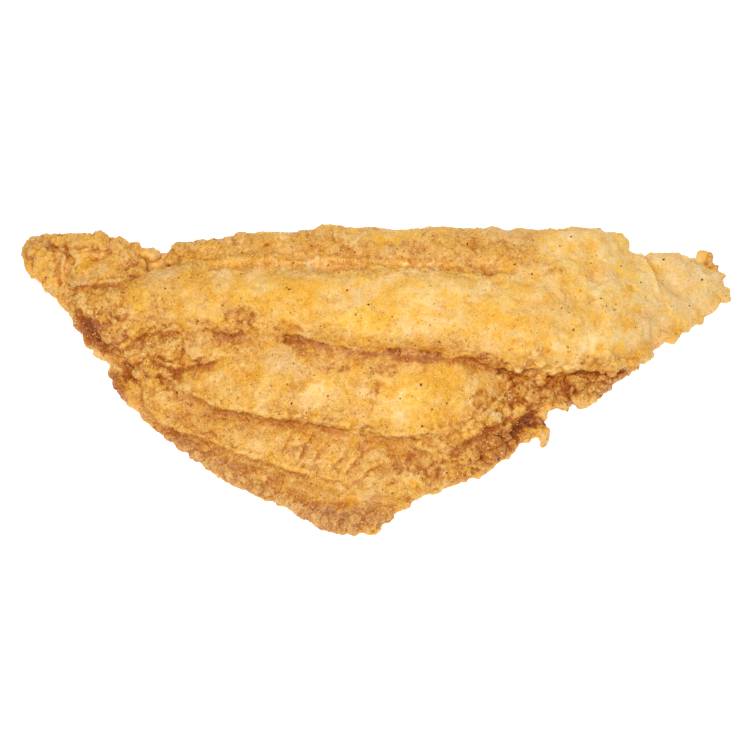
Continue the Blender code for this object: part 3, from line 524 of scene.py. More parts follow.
# Creases under the lips of the folds: width in the photograph's pixels, depth in mm, how
# dark the painted shade in the crease is, how far below the line (above, if negative) the
# breading dips and takes painted shade, what else sets the crease apart (its pink is
# painted shade too), and its line in pixels.
creases = {
    "loinLeft": (2.6, 0.05, 0.22, 8, {"scallops": (3, 6)}, [
        (203, 328), (220, 330), (236, 331), (252, 328), (270, 333), (285, 338),
    ]),
    "loinMiddle": (3.6, 0.3, 0.8, 9, {"wander": 0.45, "pinkAndShade": 0.6}, [
        (285, 336), (297, 334), (313, 342), (333, 345), (353, 349), (372, 352), (390, 355),
        (407, 355), (427, 357), (445, 358),
    ]),
    "loinRight": (3, 0.15, 0.65, 8, {"scallops": (3, 5), "wander": 0.7}, [
        (440, 358), (463, 358), (478, 359), (490, 363), (503, 368), (510, 374),
    ]),
    "lobeLip": (2.4, 0.3, 0.55, 11, {"scallops": (3.5, 7)}, [
        (172, 387), (187, 394), (205, 401), (217, 407), (230, 408), (245, 414), (265, 416),
        (290, 420), (315, 424), (330, 426), (340, 428), (355, 433),
    ]),
    "lobeLipRight": (2, 0.2, 0.35, 10, {"scallops": (3.5, 6)}, [
        (355, 433), (370, 436), (390, 438), (405, 436), (430, 435), (450, 433),
    ]),
    "thirdLip": (2, 0.55, 0.6, 8, {"scallops": (3, 6)}, [
        (145, 387), (142, 397), (149, 412), (165, 425), (187, 434), (205, 440), (220, 447),
        (240, 455), (260, 460), (277, 466), (297, 472), (317, 476),
    ]),
    "thirdLipEnd": (1.8, 0.4, 0.35, 4, {}, [(317, 476), (337, 481), (350, 487)]),
    "lensUnder": (2.4, 0.5, 0.75, 5, {"scallops": (3, 6), "wander": 0.6}, [
        (68, 286), (85, 286), (102, 285), (120, 281), (132, 276), (143, 270),
    ]),
    "lensLeft": (1.8, 0.35, 0.5, -3, {"wander": 0.5}, [
        (57, 292), (62, 284), (61, 272), (60, 259), (66, 251), (82, 249), (95, 246),
    ]),
    "tipCrack": (1.5, 0.4, 0.4, 2, {}, [(42, 237), (50, 241), (60, 249)]),
    "hollowTop": (2.6, 0.8, 0.9, 6, {}, [(74, 306), (84, 313), (98, 322), (113, 320), (121, 323)]),
    "hollowDeep": (5, 0.7, 0.9, 4, {"pinkAndShade": 0.25}, [(78, 318), (86, 328), (94, 338), (101, 348)]),
    "cheekUnder": (2.2, 0.3, 0.45, 6, {"scallops": (4, 7)}, [
        (118, 350), (137, 343), (148, 335), (162, 332), (183, 332), (203, 328),
    ]),
    "cheekRight": (1.8, 0.7, 0.6, 2, {"wander": 0.5}, [
        (181, 334), (185, 344), (184, 355), (178, 366),
    ]),
    "shoulderUnder": (2, 0.9, 0.9, 6, {}, [
        (153, 355), (162, 365), (175, 370), (187, 370), (200, 365), (215, 360), (228, 357),
    ]),
    "knotsLeft": (2.6, 1, 0.9, 4, {}, [(124, 362), (129, 371), (137, 381), (145, 387)]),
    "knotsMiddle": (1.4, 0.7, 0.55, 1, {}, [(139, 362), (143, 370), (152, 376), (163, 377)]),
    "backGroove": (2.4, 0.3, 0.28, -6, {"scallops": (4, 8), "bead": 0.2}, [
        (187, 266), (210, 261), (230, 258), (250, 256), (277, 258), (300, 261), (323, 257),
        (347, 258), (373, 259), (397, 261), (413, 265), (427, 262), (440, 261), (460, 262),
    ]),
    "backGrooveRight": (2.4, 0.4, 0.3, -5, {"scallops": (4, 8), "bead": 0.2}, [
        (460, 262), (480, 270), (492, 275), (508, 271),
    ]),
    "backCut": (1.8, 0.8, 0.6, 1, {}, [(332, 229), (334, 235), (339, 242)]),
    "loinOverShelf": (2.4, 0.1, 0.2, 5, {"scallops": (5, 10)}, [
        (507, 380), (517, 376), (527, 379), (540, 379), (555, 377), (570, 377), (582, 372),
        (600, 371), (617, 368), (632, 366),
    ]),
    "ringUnder": (2.4, 0.6, 0.9, 13, {"scallops": (4, 7), "pinkAndShade": 0.2}, [
        (514, 395), (514, 412), (508, 423), (493, 428), (483, 437), (472, 444), (463, 453),
        (447, 458),
    ]),
    "ringInner": (1.6, 0.6, 0.34, 3, {"scallops": (3.5, 6), "wander": 0.5}, [
        (505, 372), (507, 381), (503, 392), (494, 403), (484, 412), (472, 420), (458, 429),
    ]),
    "thirdTear": (1.8, 0.4, 0.4, 4, {"scallops": (3, 5)}, [
        (405, 440), (422, 450), (440, 460), (452, 462),
    ]),
    "grooveOne": (2, 0.3, 0.62, -4, {"wander": 0.6}, [(294, 428), (286, 442), (277, 456)]),
    "grooveTwo": (2, 0.3, 0.62, -4, {"wander": 0.6}, [(315, 430), (304, 448), (295, 466)]),
    "grooveThree": (2, 0.3, 0.57, -4, {"wander": 0.6}, [(331, 437), (319, 452), (308, 468)]),
    "grooveFour": (2, 0.3, 0.52, -4, {"wander": 0.6}, [(347, 448), (338, 460), (329, 472)]),
    "grooveFive": (2, 0.3, 0.72, -4, {"wander": 0.6}, [(370, 445), (354, 462), (341, 480)]),
    "grooveSix": (2, 0.3, 0.57, -4, {"wander": 0.6}, [(388, 460), (370, 471), (356, 482)]),
    "grooveSeven": (2, 0.25, 0.3, -4, {"wander": 0.6}, [(268, 424), (262, 436), (256, 446)]),
    "shelfGap": (3, 0.8, 0.9, 3, {"wander": 0.4}, [
        (575, 376), (570, 385), (568, 392), (572, 400),
    ]),
    "flapEdge": (1.8, 0.8, 0.1, -6, {"wander": 0.3}, [
        (622, 232), (632, 243), (641, 251), (651, 266), (657, 280), (663, 298),
    ]),
}


# Where each point shows in the photograph, in its pixels.
def pictureSpots(points):
    angle = math.radians(studio["elevation"])
    back = np.array([0, -math.cos(angle), math.sin(angle)])
    up = np.array([0, math.sin(angle), math.cos(angle)])
    off = points * mm - np.array(studio["target"])
    scale = studio["distance"] / (studio["distance"] - off @ back) / (studio["mmPerPixel"] * mm)
    across, down = studio["targetPixel"]
    return np.stack([across + off[:, 0] * scale, down - (off @ up) * scale], axis=1)


# Noise at each point: its strength, or a shift across and down.
def noiseAt(points, size, start=(0, 0, 0)):
    return np.array([noise.noise(Vector(p) / size + Vector(start)) for p in points])


def driftAt(points, size, start=(0, 0, 0)):
    return np.array([noise.noise_vector(Vector(p) / size + Vector(start))[:2] for p in points])


# 1 inside a place, 0 outside it, with a soft edge.
def within(spots, place, edge=0.35):
    across, down, halfLength, halfWidth, turn = place[:5]
    c, s = math.cos(math.radians(turn)), math.sin(math.radians(turn))
    x, y = spots[:, 0] - across, spots[:, 1] - down
    reach = np.hypot((x * c + y * s) / halfLength, (y * c - x * s) / halfWidth)
    t = np.clip((1 + edge - reach) / (2 * edge), 0.0, 1.0)
    return t * t * (3 - 2 * t)


# Distance in pixels from a line through the photograph, positive on the side to which its
# spread points, and how near the line is to full strength there: it fades in and out.
def fromLine(spots, line, spread, fade=12.0):
    nearest = np.full(len(spots), 1e9)
    below, along = np.zeros(len(spots)), np.zeros(len(spots))
    length = 0.0
    for (x0, y0), (x1, y1) in zip(line, line[1:]):
        dx, dy = x1 - x0, y1 - y0
        t = ((spots[:, 0] - x0) * dx + (spots[:, 1] - y0) * dy) / (dx * dx + dy * dy)
        t = np.clip(t, 0, 1)
        offX, offY = spots[:, 0] - x0 - t * dx, spots[:, 1] - y0 - t * dy
        distance = np.hypot(offX, offY)
        closer = distance < nearest
        nearest[closer] = distance[closer]
        below[closer] = (offY * dx - offX * dy)[closer]
        along[closer] = length + t[closer] * math.hypot(dx, dy)
        length += math.hypot(dx, dy)
    full = np.clip(np.minimum(along, length - along) / min(fade, length / 3), 0, 1)
    return nearest * np.where(below >= 0, 1.0, -1.0) * np.sign(spread), full


# How far the lips stray from their lines at each point, in pixels.
def wandering(points):
    (turns, reach), (fineTurns, fineReach) = crust["waver"], crust["scallop"]
    return reach * driftAt(points, turns) + fineReach * driftAt(points, fineTurns, (9, 2, 4))


# A row of small lumps along each lip that the list says is scalloped.
def lipScallops():
    rng = random.Random(17)
    lumps = []
    for _, _, _, spread, extras, line in creases.values():
        if "scallops" not in extras:
            continue
        side = -math.copysign(1, spread)
        for (x0, y0), (x1, y1) in zip(line, line[1:]):
            dx, dy = x1 - x0, y1 - y0
            length = math.hypot(dx, dy)
            along = 0.0
            while along < length:
                radius = rng.uniform(*extras["scallops"])
                off = side * rng.uniform(1.0, 3.5)
                t = along / length
                across, down = x0 + t * dx - off * dy / length, y0 + t * dy + off * dx / length
                lumps.append((extras.get("bead", crust["lipBead"]), across, down, radius))
                along += radius * rng.uniform(1.1, 1.7)
    return lumps


# How craggy the breading is at each point, from 0 to 1.
def cragginess(points, spots):
    crag = np.full(len(points), crust["smooth"])
    for place in crust["places"].values():
        crag = np.maximum(crag, within(spots, place) * place[5])
    wander = noiseAt(points, 7.0)
    return np.clip(crag * (1 + 0.4 * wander) + 0.03 * wander, 0.0, 1.0)


# Rounded knobs about size apart, each of its own height, with valleys between them.
def knobHeight(place, size, start, stray=0.45, reach=0.9, valleyWidth=0.3):
    spot = place / size + start
    spot += stray * noise.noise_vector(spot * 0.8)
    distances, sites = noise.voronoi(spot)
    dome = max(0.0, 1 - (distances[0] / reach) ** 2)
    valley = min(1.0, (distances[1] - distances[0]) / valleyWidth)
    return dome * valley * (0.6 + 0.4 * noise.cell(sites[0] * 9.1))


# Swells, scattered knobs and pits, then the lumps that are placed, then the creases.
def crustHeights(points, spots, crag):
    heights = np.zeros(len(points))
    for place in crust["swells"].values():
        heights += within(spots, place) * place[5]
    pitSize, smoothPit, cragPit = crust["pits"]
    for i, (point, rough) in enumerate(zip(points, crag)):
        place = Vector(point)
        for n, (size, low, high) in enumerate(crust["knobs"]):
            height = low + (high - low) * rough**1.3
            heights[i] += height * (knobHeight(place, size, Vector((n * 7.3, 3.1, 5.7))) - 0.3)
        pit = noise.noise(place / pitSize * 1.6 + Vector((4.0, 9.0, 2.0)))
        heights[i] -= max(0.0, pit - 0.25) * 2 * (smoothPit + (cragPit - smoothPit) * rough)

    shake = sum(reach * driftAt(points, size) for size, reach in crust["shake"])
    first, second = np.full((2, len(points)), 9.0)
    tall = np.zeros(len(points))
    lumps = lipScallops()
    for share, group in crust["knuckles"].values():
        lumps += [(share, *lump) for lump in group]
    for share, across, down, radius in lumps:
        off = (spots - (across, down)) / radius + shake
        reach = np.hypot(off[:, 0], off[:, 1] * 1.08)
        closer = reach < first
        second = np.where(closer, first, np.minimum(second, reach))
        first = np.where(closer, reach, first)
        tall[closer] = radius * studio["mmPerPixel"] * share
    dome = np.clip(1.5 * np.sqrt(np.clip(1 - first**2, 0, 1)), 0, 1)
    crack = 0.5 + 0.5 * np.clip((second - first) / 0.3, 0, 1)
    heights += dome * crack * tall

    astray = wandering(points)
    for width, depth, _, spread, extras, line in creases.values():
        away, full = fromLine(spots + extras.get("wander", 1) * astray, line, spread)
        past = 0.5 + 0.5 * np.tanh(away / 0.8)
        lip = np.exp(-((away / 5.0) ** 2))
        dip = np.exp(-np.abs(away) / (0.6 * abs(spread) + width))
        heights += depth * full * ((1 - past) * 0.45 * lip - past * dip)
    return heights


# Positions in mm, normals and edges of a mesh.
def meshArrays(mesh):
    count = len(mesh.vertices)
    points, normals = np.empty((2, count * 3))
    edges = np.empty(len(mesh.edges) * 2, np.int64)
    mesh.vertices.foreach_get("co", points)
    mesh.vertex_normals.foreach_get("vector", normals)
    mesh.edges.foreach_get("vertices", edges)
    return points.reshape(-1, 3) / mm, normals.reshape(-1, 3), edges.reshape(-1, 2)


# Averages each vertex with its neighbours, over and over.
def smoothed(values, edges, rounds):
    count = len(values)
    a, b = edges.T
    links = np.bincount(a, minlength=count) + np.bincount(b, minlength=count) + 1
    out = np.array(values, float).reshape(count, -1)
    for _ in range(rounds):
        for k in range(out.shape[1]):
            column = out[:, k].copy()
            total = np.bincount(a, column[b], count) + np.bincount(b, column[a], count)
            out[:, k] = (column + total) / links
    return out.reshape(values.shape)


# How far each vertex stands out of, or lies in, its surroundings, in mm.
def standout(points, normals, edges, rounds):
    return ((points - smoothed(points, edges, rounds)) * normals).sum(axis=1)


shade = {
    "rays": 12,
    "rayLift": 0.25,  # how far off the skin a ray starts, in mm
    # How far a ray looks for what shuts the light out, in mm, the shares shut out where the
    # painted shade starts and is darkest, and how much darker the painted shade makes it there.
    "near": (3.5, 0.12, 0.62, 0.13),
    "far": (12.0, 0.30, 1.0, 0.08),
    # The crease colour that the near cracks take is painted shade.
    "crack": 0.72,  # how much of the crease colour the near cracks take
    # What stands out is paler, a painted highlight, and what lies in a hollow is darker, painted
    # shade: rounds of smoothing, mm for its full effect, the most that counts, and the effect on
    # smooth breading and what craggy breading adds.
    "paintedReliefLight": [(3, 0.12, 0.5, 0.07, 0.05), (25, 0.8, 0.6, 0.05, 0.04)],
    # The paler edge of a lip is a painted highlight.
    "lipHighlight": 0.07,  # how much paler the edge of a lip is
    # How the patches stray: mm between turns, reach in pixels.
    "drift": [(7.0, 8.0), (2.2, 5.0)],
    # How uneven the browning is: mm between turns, and how much browner or paler it gets.
    "mottle": [(9.0, 0.09), (3.2, 0.063)],
    "browningAndShade": 0.42,  # 0 palest, 1 darkest, where no place below says so
    "places": {
        "loinLeft": (250, 300, 80, 32, 0, 0.34), "loinMiddle": (400, 305, 90, 35, 2, 0.27),
        "loinRight": (560, 310, 100, 45, 0, 0.26), "tail": (680, 285, 45, 35, 0, 0.1),
        "backBand": (380, 245, 210, 13, 0, 0.47), "backRight": (590, 248, 55, 20, 0, 0.22),
        "tip": (45, 255, 28, 25, 20, 0.48), "tipCrumbs": (95, 242, 45, 8, 5, 0.46),
        "lens": (105, 268, 36, 15, -10, 0.42), "cheek": (130, 300, 55, 20, 15, 0.46),
        # The hollow's value is partly browning and partly painted shade in the hollow.
        "hollow": (90, 330, 21, 10, 54, 0.8), "cheekLow": (145, 335, 45, 18, 0, 0.46),
        "knots": (152, 372, 24, 17, 0, 0.5), "shoulder": (220, 344, 55, 10, 0, 0.44),
        "lobeLeft": (255, 378, 70, 26, 12, 0.4), "lobeDip": (345, 378, 32, 28, 0, 0.34),
        "lobeMiddle": (415, 395, 48, 35, 0, 0.29), "lobeRight": (487, 395, 20, 32, 10, 0.28),
        "ringBelow": (430, 443, 70, 10, -5, 0.4), "shelf": (572, 388, 76, 15, -8, 0.61),
        "underRing": (484, 450, 50, 18, -30, 0.72), "thirdLeft": (180, 412, 45, 14, 25, 0.5),
        "thirdMiddle": (290, 450, 70, 22, 15, 0.43), "thirdRight": (420, 468, 50, 24, -10, 0.47),
        "outerBand": (240, 475, 130, 13, 27, 0.58), "nearCorner": (340, 518, 50, 16, 0, 0.63),
        "notch": (116, 388, 9, 20, -20, 0.7), "tailTip": (714, 262, 9, 9, 0, 0.5),
    },
    # Smaller patches, added on top: the last value is how much browner, or paler below 0.
    # The thin darker strips along the loin's lower lip are painted shade, and the paler strip
    # under its lip over the shelf is painted light.
    "patches": {
        # The thin darker strips along the lower lip of the loin are painted shade in its crease.
        "loin": [
            (241, 317, 17, 10, 30, 0.28), (294, 345, 11, 5, 20, 0.24), (372, 334, 10, 6, 0, 0.08),
            (536, 344, 6, 8, 0, 0.16), (572, 327, 8, 3, 10, 0.14), (490, 272, 7, 3, 20, 0.22),
            (415, 292, 22, 14, 0, -0.1), (362, 322, 16, 12, 0, -0.07),
            (262, 283, 16, 10, 0, -0.08), (560, 341, 18, 10, 10, -0.12),
            (588, 343, 9, 8, 0, -0.18), (466, 285, 22, 12, 0, -0.08), (412, 357, 34, 5, 2, 0.24),
            (488, 361, 20, 5, 8, 0.26), (216, 330, 26, 7, 8, 0.18), (594, 367, 20, 5, -8, 0.12),
            (288, 329, 22, 4, 8, 0.14), (330, 267, 46, 4, 0, -0.13),
        ],
        "backBand": [
            (267, 244, 3, 2, 0, 0.22), (342, 241, 9, 5, 35, 0.15), (587, 248, 3, 10, 0, 0.14),
            (470, 247, 7, 5, 30, 0.16), (551, 273, 10, 4, 0, 0.14), (400, 236, 24, 9, 0, -0.16),
            (558, 270, 8, 5, 0, 0.14), (417, 261, 8, 4, 0, 0.14), (353, 235, 12, 6, 0, -0.13),
            (510, 238, 18, 7, 0, -0.13),
        ],
        "flapAndTail": [
            (586, 297, 5, 6, 0, 0.14), (594, 359, 12, 5, 0, 0.14), (627, 288, 3, 10, -15, 0.16),
            (699, 262, 9, 5, 0, 0.16), (640, 333, 34, 9, -22, -0.22),
            (628, 262, 26, 18, 40, -0.18), (604, 285, 10, 16, 0, -0.1), (706, 283, 9, 6, 0, -0.14),
            (688, 299, 8, 8, 0, -0.12),
        ],
        "lobe": [
            (340, 371, 16, 5, 8, 0.2), (300, 386, 12, 6, 0, 0.1), (375, 396, 4, 14, 15, 0.16),
            (470, 405, 6, 12, 20, 0.08), (389, 371, 13, 6, 0, 0.2), (482, 401, 8, 13, 20, 0.2),
            (381, 389, 12, 9, 0, 0.1), (503, 419, 9, 7, -20, -0.36), (476, 431, 15, 7, -20, -0.38),
            (322, 394, 18, 9, -35, -0.16), (406, 400, 16, 12, 0, -0.1),
            (280, 358, 16, 8, 10, -0.08),
        ],
        "thirdBand": [
            (218, 416, 12, 6, 20, 0.16), (404, 466, 9, 12, 0, 0.14), (247, 426, 16, 5, 20, 0.04),
            (385, 450, 14, 5, 0, 0.06), (437, 472, 8, 6, 0, 0.14), (165, 402, 14, 5, 25, -0.14),
            (255, 445, 24, 6, 20, -0.1), (410, 480, 14, 6, -20, -0.12), (202, 436, 13, 6, 25, 0.2),
            (363, 445, 11, 6, 0, 0.18), (296, 450, 11, 6, 0, 0.1), (415, 474, 8, 7, 0, 0.22),
        ],
        "outerBand": [
            (358, 482, 10, 4, 10, 0.12), (214, 453, 22, 5, 27, -0.14),
            (258, 479, 12, 6, 25, -0.24), (372, 497, 20, 9, 0, -0.12),
        ],
        "tipAndCheek": [
            (127, 343, 20, 6, -8, 0.18), (118, 317, 11, 5, 0, 0.18), (164, 337, 14, 6, -15, 0.18),
            (130, 268, 11, 6, -10, 0.16), (98, 318, 9, 4, 15, 0.1), (79, 302, 7, 4, 0, 0.16),
            (109, 351, 10, 4, 25, 0.2), (120, 336, 8, 5, 0, 0.1), (86, 290, 10, 6, 0, -0.14),
            (100, 256, 10, 6, 0, -0.13), (72, 260, 9, 8, 0, -0.16), (148, 263, 5, 9, 0, -0.2),
            # The first patch here darkens the core of the hollow as painted shade.
            (92, 332, 13, 6, 54, 0.28), (137, 297, 13, 10, 0, -0.17),
        ],
        "knots": [
            (164, 384, 13, 5, 10, 0.22), (188, 367, 15, 5, -15, 0.15), (159, 355, 8, 4, 0, 0.14),
            (204, 361, 13, 4, -15, 0.12), (131, 363, 13, 4, 0, 0.16), (131, 374, 4, 12, -35, 0.25),
        ],
        "shelf": [
            (511, 382, 5, 12, 0, 0.22), (568, 388, 6, 8, -30, 0.26), (533, 411, 11, 7, -25, 0.32),
            # The long paler strip on this line, under the loin's lip, is painted light.
            (467, 455, 6, 16, 0, -0.12), (552, 372, 40, 6, 0, -0.22), (538, 424, 12, 6, -5, 0.36),
            (525, 425, 14, 7, -15, 0.28),
        ],
    },
    # Where the fish shows pink and grey through thin breading.
    "pinkPlaces": [
        (675, 262, 26, 10, 20, 0.5), (650, 331, 28, 12, -22, 0.35), (558, 322, 34, 24, 0, 0.22),
        (632, 262, 11, 9, 30, 0.3), (325, 267, 50, 5, 0, 0.3), (510, 238, 20, 8, 0, 0.3),
        (690, 290, 30, 25, 0, 0.5), (335, 516, 55, 12, 0, 0.4), (235, 478, 130, 9, 27, 0.35),
        (280, 357, 18, 10, 20, 0.5), (305, 372, 12, 9, 0, 0.3), (604, 285, 14, 25, 0, 0.15),
        (374, 497, 16, 9, 0, 0.5), (78, 281, 14, 5, -15, 0.5), (262, 283, 18, 10, 0, 0.2),
        (398, 250, 22, 6, 0, 0.3), (198, 343, 10, 8, 0, 0.3),
    ],
    # Where oil has soaked in and the breading glows yellow.
    "butterPlaces": [
        (200, 286, 18, 10, -20, 0.8), (137, 296, 12, 10, 0, 0.6), (33, 255, 10, 8, 0, 0.5),
        (287, 296, 32, 16, -10, 0.7), (375, 316, 26, 14, -20, 0.8), (386, 240, 12, 6, 0, 0.9),
        (522, 326, 34, 9, 15, 0.8), (574, 324, 10, 7, 0, 0.7), (630, 262, 24, 12, 50, 0.6),
        (432, 382, 34, 20, -15, 0.8), (430, 418, 26, 8, -5, 0.6), (262, 380, 26, 8, 20, 0.5),
        (86, 266, 8, 5, 0, 0.5), (246, 296, 12, 9, 0, 0.8), (302, 314, 12, 8, 0, 0.7),
        (462, 402, 9, 10, 0, 0.7), (381, 390, 11, 8, 0, 0.6), (345, 503, 10, 5, 0, 0.7),
    ],
}


# Share of the light that is shut out at each vertex, close by and further off. The colours
# darken with it as painted shade.
def shutOut(points, normals, tree):
    count = shade["rays"]
    turns = math.pi * (3 - math.sqrt(5)) * np.arange(count)
    up = np.sqrt((np.arange(count) + 0.5) / count)  # more rays near the normal
    side = np.sqrt(1 - up**2)
    fan = np.stack([side * np.cos(turns), side * np.sin(turns), up], axis=1)
    shut = np.zeros((len(points), 2))
    near, far = shade["near"][0] * mm, shade["far"][0] * mm
    for i, (point, normal) in enumerate(zip(points, normals)):
        axis = Vector(normal)
        start = Vector(point) * mm + axis * shade["rayLift"] * mm
        across = axis.orthogonal().normalized()
        other = axis.cross(across)
        for x, y, z in fan:
            ray = across * x + other * y + axis * z
            distance = tree.ray_cast(start, ray, far)[3]
            if distance is not None:
                shut[i, 0] += max(0.0, 1 - 0.6 * distance / near) if distance < near else 0
                shut[i, 1] += 1 - 0.5 * distance / far
            elif start.z + ray.z * far < 0:
                shut[i, 1] += 0.3  # the table
    return shut / count


# Red is browning with painted shade and painted highlights, green is painted shade in the creases,
# blue is how yellow with oil, alpha is how pink, with painted shade under some lips.
def shadeColours(points, normals, edges, crag, tree):
    spots = pictureSpots(points)
    browningAndShade = np.full(len(points), shade["browningAndShade"])
    for place in shade["places"].values():
        browningAndShade += within(spots, place) * (place[5] - browningAndShade)
    drifted = spots + sum(reach * driftAt(points, size) for size, reach in shade["drift"])
    # Browner patches break up into specks.
    speckle = np.clip(1 + 1.3 * noiseAt(points, 1.3, (3, 8, 1)), 0.35, 1.8)
    for group in shade["patches"].values():
        for place in group:
            browningAndShade += within(drifted, place) * place[5] * (speckle if place[5] > 0 else 1)
    butter, pinkAndShade = np.zeros((2, len(points)))
    for layer, places in ((butter, "butterPlaces"), (pinkAndShade, "pinkPlaces")):
        for place in shade[places]:
            layer[:] = np.maximum(layer, within(drifted, place) * place[5])

    browningAndShade += sum(shift * noiseAt(points, size) for size, shift in shade["mottle"])
    # Painted highlight on what stands out, painted shade in what lies in hollows.
    for rounds, full, most, smooth, craggy in shade["paintedReliefLight"]:
        high = np.clip(standout(points, normals, edges, rounds) / full, -1.2, most)
        browningAndShade -= (smooth + craggy * crag) * high

    # Painted shade: where the light is shut out, the breading is darker and takes the crease tint.
    shut = smoothed(shutOut(points, normals, tree), edges, 1)
    (_, start, end, nearShade), (_, farStart, farEnd, farShade) = shade["near"], shade["far"]
    near = np.clip((shut[:, 0] - start) / (end - start), 0, 1)
    far = np.clip((shut[:, 1] - farStart) / (farEnd - farStart), 0, 1)
    creaseShade = shade["crack"] * near
    astray = wandering(points)
    broken = np.clip(0.7 + 0.8 * (noiseAt(points, 3.4) + 0.8 * noiseAt(points, 1.3)), 0.1, 1.2)
    # Each lip paints shade into the crease under it, pink painted shade where listed, and a painted
    # highlight along its edge.
    for width, _, lipShade, spread, extras, line in creases.values():
        away, full = fromLine(spots + extras.get("wander", 1) * astray, line, spread)
        past = 0.5 + 0.5 * np.tanh((away + 0.3) / 0.8)
        core = past * np.exp(-((away / (1.5 * width)) ** 2))
        under = past * np.exp(-np.abs(away) / (0.9 * abs(spread)))
        full = full * broken
        creaseShade = np.maximum(creaseShade, core * full * lipShade)
        browner = np.clip(0.30 + 0.55 * lipShade - browningAndShade, 0, None)
        browningAndShade += browner * np.clip(np.maximum(core, under) * full * 1.2, 0, 1)
        browningAndShade -= shade["lipHighlight"] * full * np.exp(-(((away + 2.2) / 1.6) ** 2))
        pinkAndShade = np.maximum(pinkAndShade, core * full * extras.get("pinkAndShade", 0))
    browningAndShade += nearShade * near + farShade * far
    return np.clip(np.stack([browningAndShade, creaseShade, butter, pinkAndShade], axis=1), 0, 1)


def storeShade(mesh, colours):
    layer = mesh.attributes.new("crustShade", "FLOAT_COLOR", "POINT")
    layer.data.foreach_set("color", colours.astype(np.float32).ravel())


# Puts the middle of the piece's footprint where the model's is.
def settle(obj):
    low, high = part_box("catfish_shank")
    points = meshArrays(obj.data)[0] * mm
    middle = (points.min(axis=0) + points.max(axis=0)) / 2
    shift = Vector(((low.x + high.x) / 2 - middle[0], (low.y + high.y) / 2 - middle[1], 0))
    obj.data.transform(Matrix.Translation(shift))
    obj.data.update()


# Brings the skin down to what one piece may hold.
def thinOut(obj, triangles=196000):
    count = len(obj.data.polygons)
    if count > triangles:
        addModifier(obj, "thinOut", "DECIMATE", ratio=triangles / count,
                    use_collapse_triangulate=True)
        applyModifiers(obj)


def buildFillet():
    obj = buildForm()
    settle(obj)
    points, normals, edges = meshArrays(obj.data)
    spots = pictureSpots(points)
    crag = cragginess(points, spots)
    points += normals * crustHeights(points, spots, crag)[:, None]
    obj.data.vertices.foreach_set("co", (points * mm).ravel())
    obj.data.update()
    print("crust raised on", len(points), "vertices")
    points, normals, edges = meshArrays(obj.data)
    colours = shadeColours(points, normals, edges, crag, raysTree([obj]))
    known = KDTree(len(points))
    for i, point in enumerate(points):
        known.insert(point, i)
    known.balance()
    pressFlat(obj)
    thinOut(obj)
    nearest = [known.find(point)[1] for point in meshArrays(obj.data)[0]]
    storeShade(obj.data, colours[nearest])
    obj.data.shade_smooth()
    print("fillet has", len(obj.data.polygons), "triangles")
    return obj


# Radii are in mm, and the higher the skew, the more of the grains are small. Each starts
# from a ball of so many subdivisions, and sinks in by a share of its half height. They lie
# as thickly as smoothShare says on smooth breading and as 1 says on craggy breading, with
# edgeShare more on edges. Browner is the range by which their stored browning and painted
# shade shifts.
scattered = {
    "breadingCrumbs": {
        "seed": 11, "count": 2300, "radius": (0.28, 0.85), "skew": 2.6, "grain": 2, "flat": 0.7,
        "sink": 0.55, "rough": 0.26, "smoothShare": 0.02, "edgeShare": 0.5,
        "browner": (-0.08, 0.12),
    },
    "cornmealGrit": {
        "seed": 12, "count": 9400, "radius": (0.18, 0.40), "skew": 1.6, "grain": 1, "flat": 0.8,
        "sink": 0.40, "rough": 0.36, "smoothShare": 0.5, "edgeShare": 0.6,
        "browner": (-0.24, 0.16),
    },
    "pepperSpecks": {
        "seed": 13, "count": 780, "radius": (0.14, 0.42), "skew": 4.0, "grain": 1, "flat": 0.5,
        "sink": 0.15, "rough": 0.3, "smoothShare": 1.0, "edgeShare": 0.0, "browner": (-0.2, 1.0),
    },
    # Their near-white colour is painted glints.
    "paintedGlintGrains": {
        "seed": 14, "count": 2500, "radius": (0.13, 0.24), "skew": 1.5, "grain": 1, "flat": 0.9,
        "sink": -0.2, "rough": 0.3, "smoothShare": 0.05, "edgeShare": 0.2, "browner": (0.0, 1.0),
    },
}


# Where grains can lie: triangles of the skin above the table that don't face down.
def skinTriangles(obj, lowest=0.6, leastUp=-0.25):
    points, normals, edges = meshArrays(obj.data)
    corners = np.empty(len(obj.data.polygons) * 3, np.int64)
    obj.data.polygons.foreach_get("vertices", corners)
    corners = corners.reshape(-1, 3)
    shades = np.empty(len(points) * 4)
    obj.data.attributes["crustShade"].data.foreach_get("color", shades)
    a, b, c = (points[corners[:, k]] for k in range(3))
    cross = np.cross(b - a, c - a)
    area = np.linalg.norm(cross, axis=1) / 2
    middle = (a + b + c) / 3
    keep = (middle[:, 2] > lowest) & (cross[:, 2] / np.maximum(2 * area, 1e-9) > leastUp)
    edge = np.clip(standout(points, normals, edges, 12) / 0.5, 0, 1)
    crag = cragginess(points, pictureSpots(points))
    return points, normals, corners[keep], area[keep], shades.reshape(-1, 4), crag, edge


def ballArrays(grain):
    ball = bmesh.new()
    bmesh.ops.create_icosphere(ball, subdivisions=grain, radius=1.0)
    points = np.array([v.co for v in ball.verts])
    faces = np.array([[v.index for v in f.verts] for f in ball.faces])
    ball.free()
    return points, faces


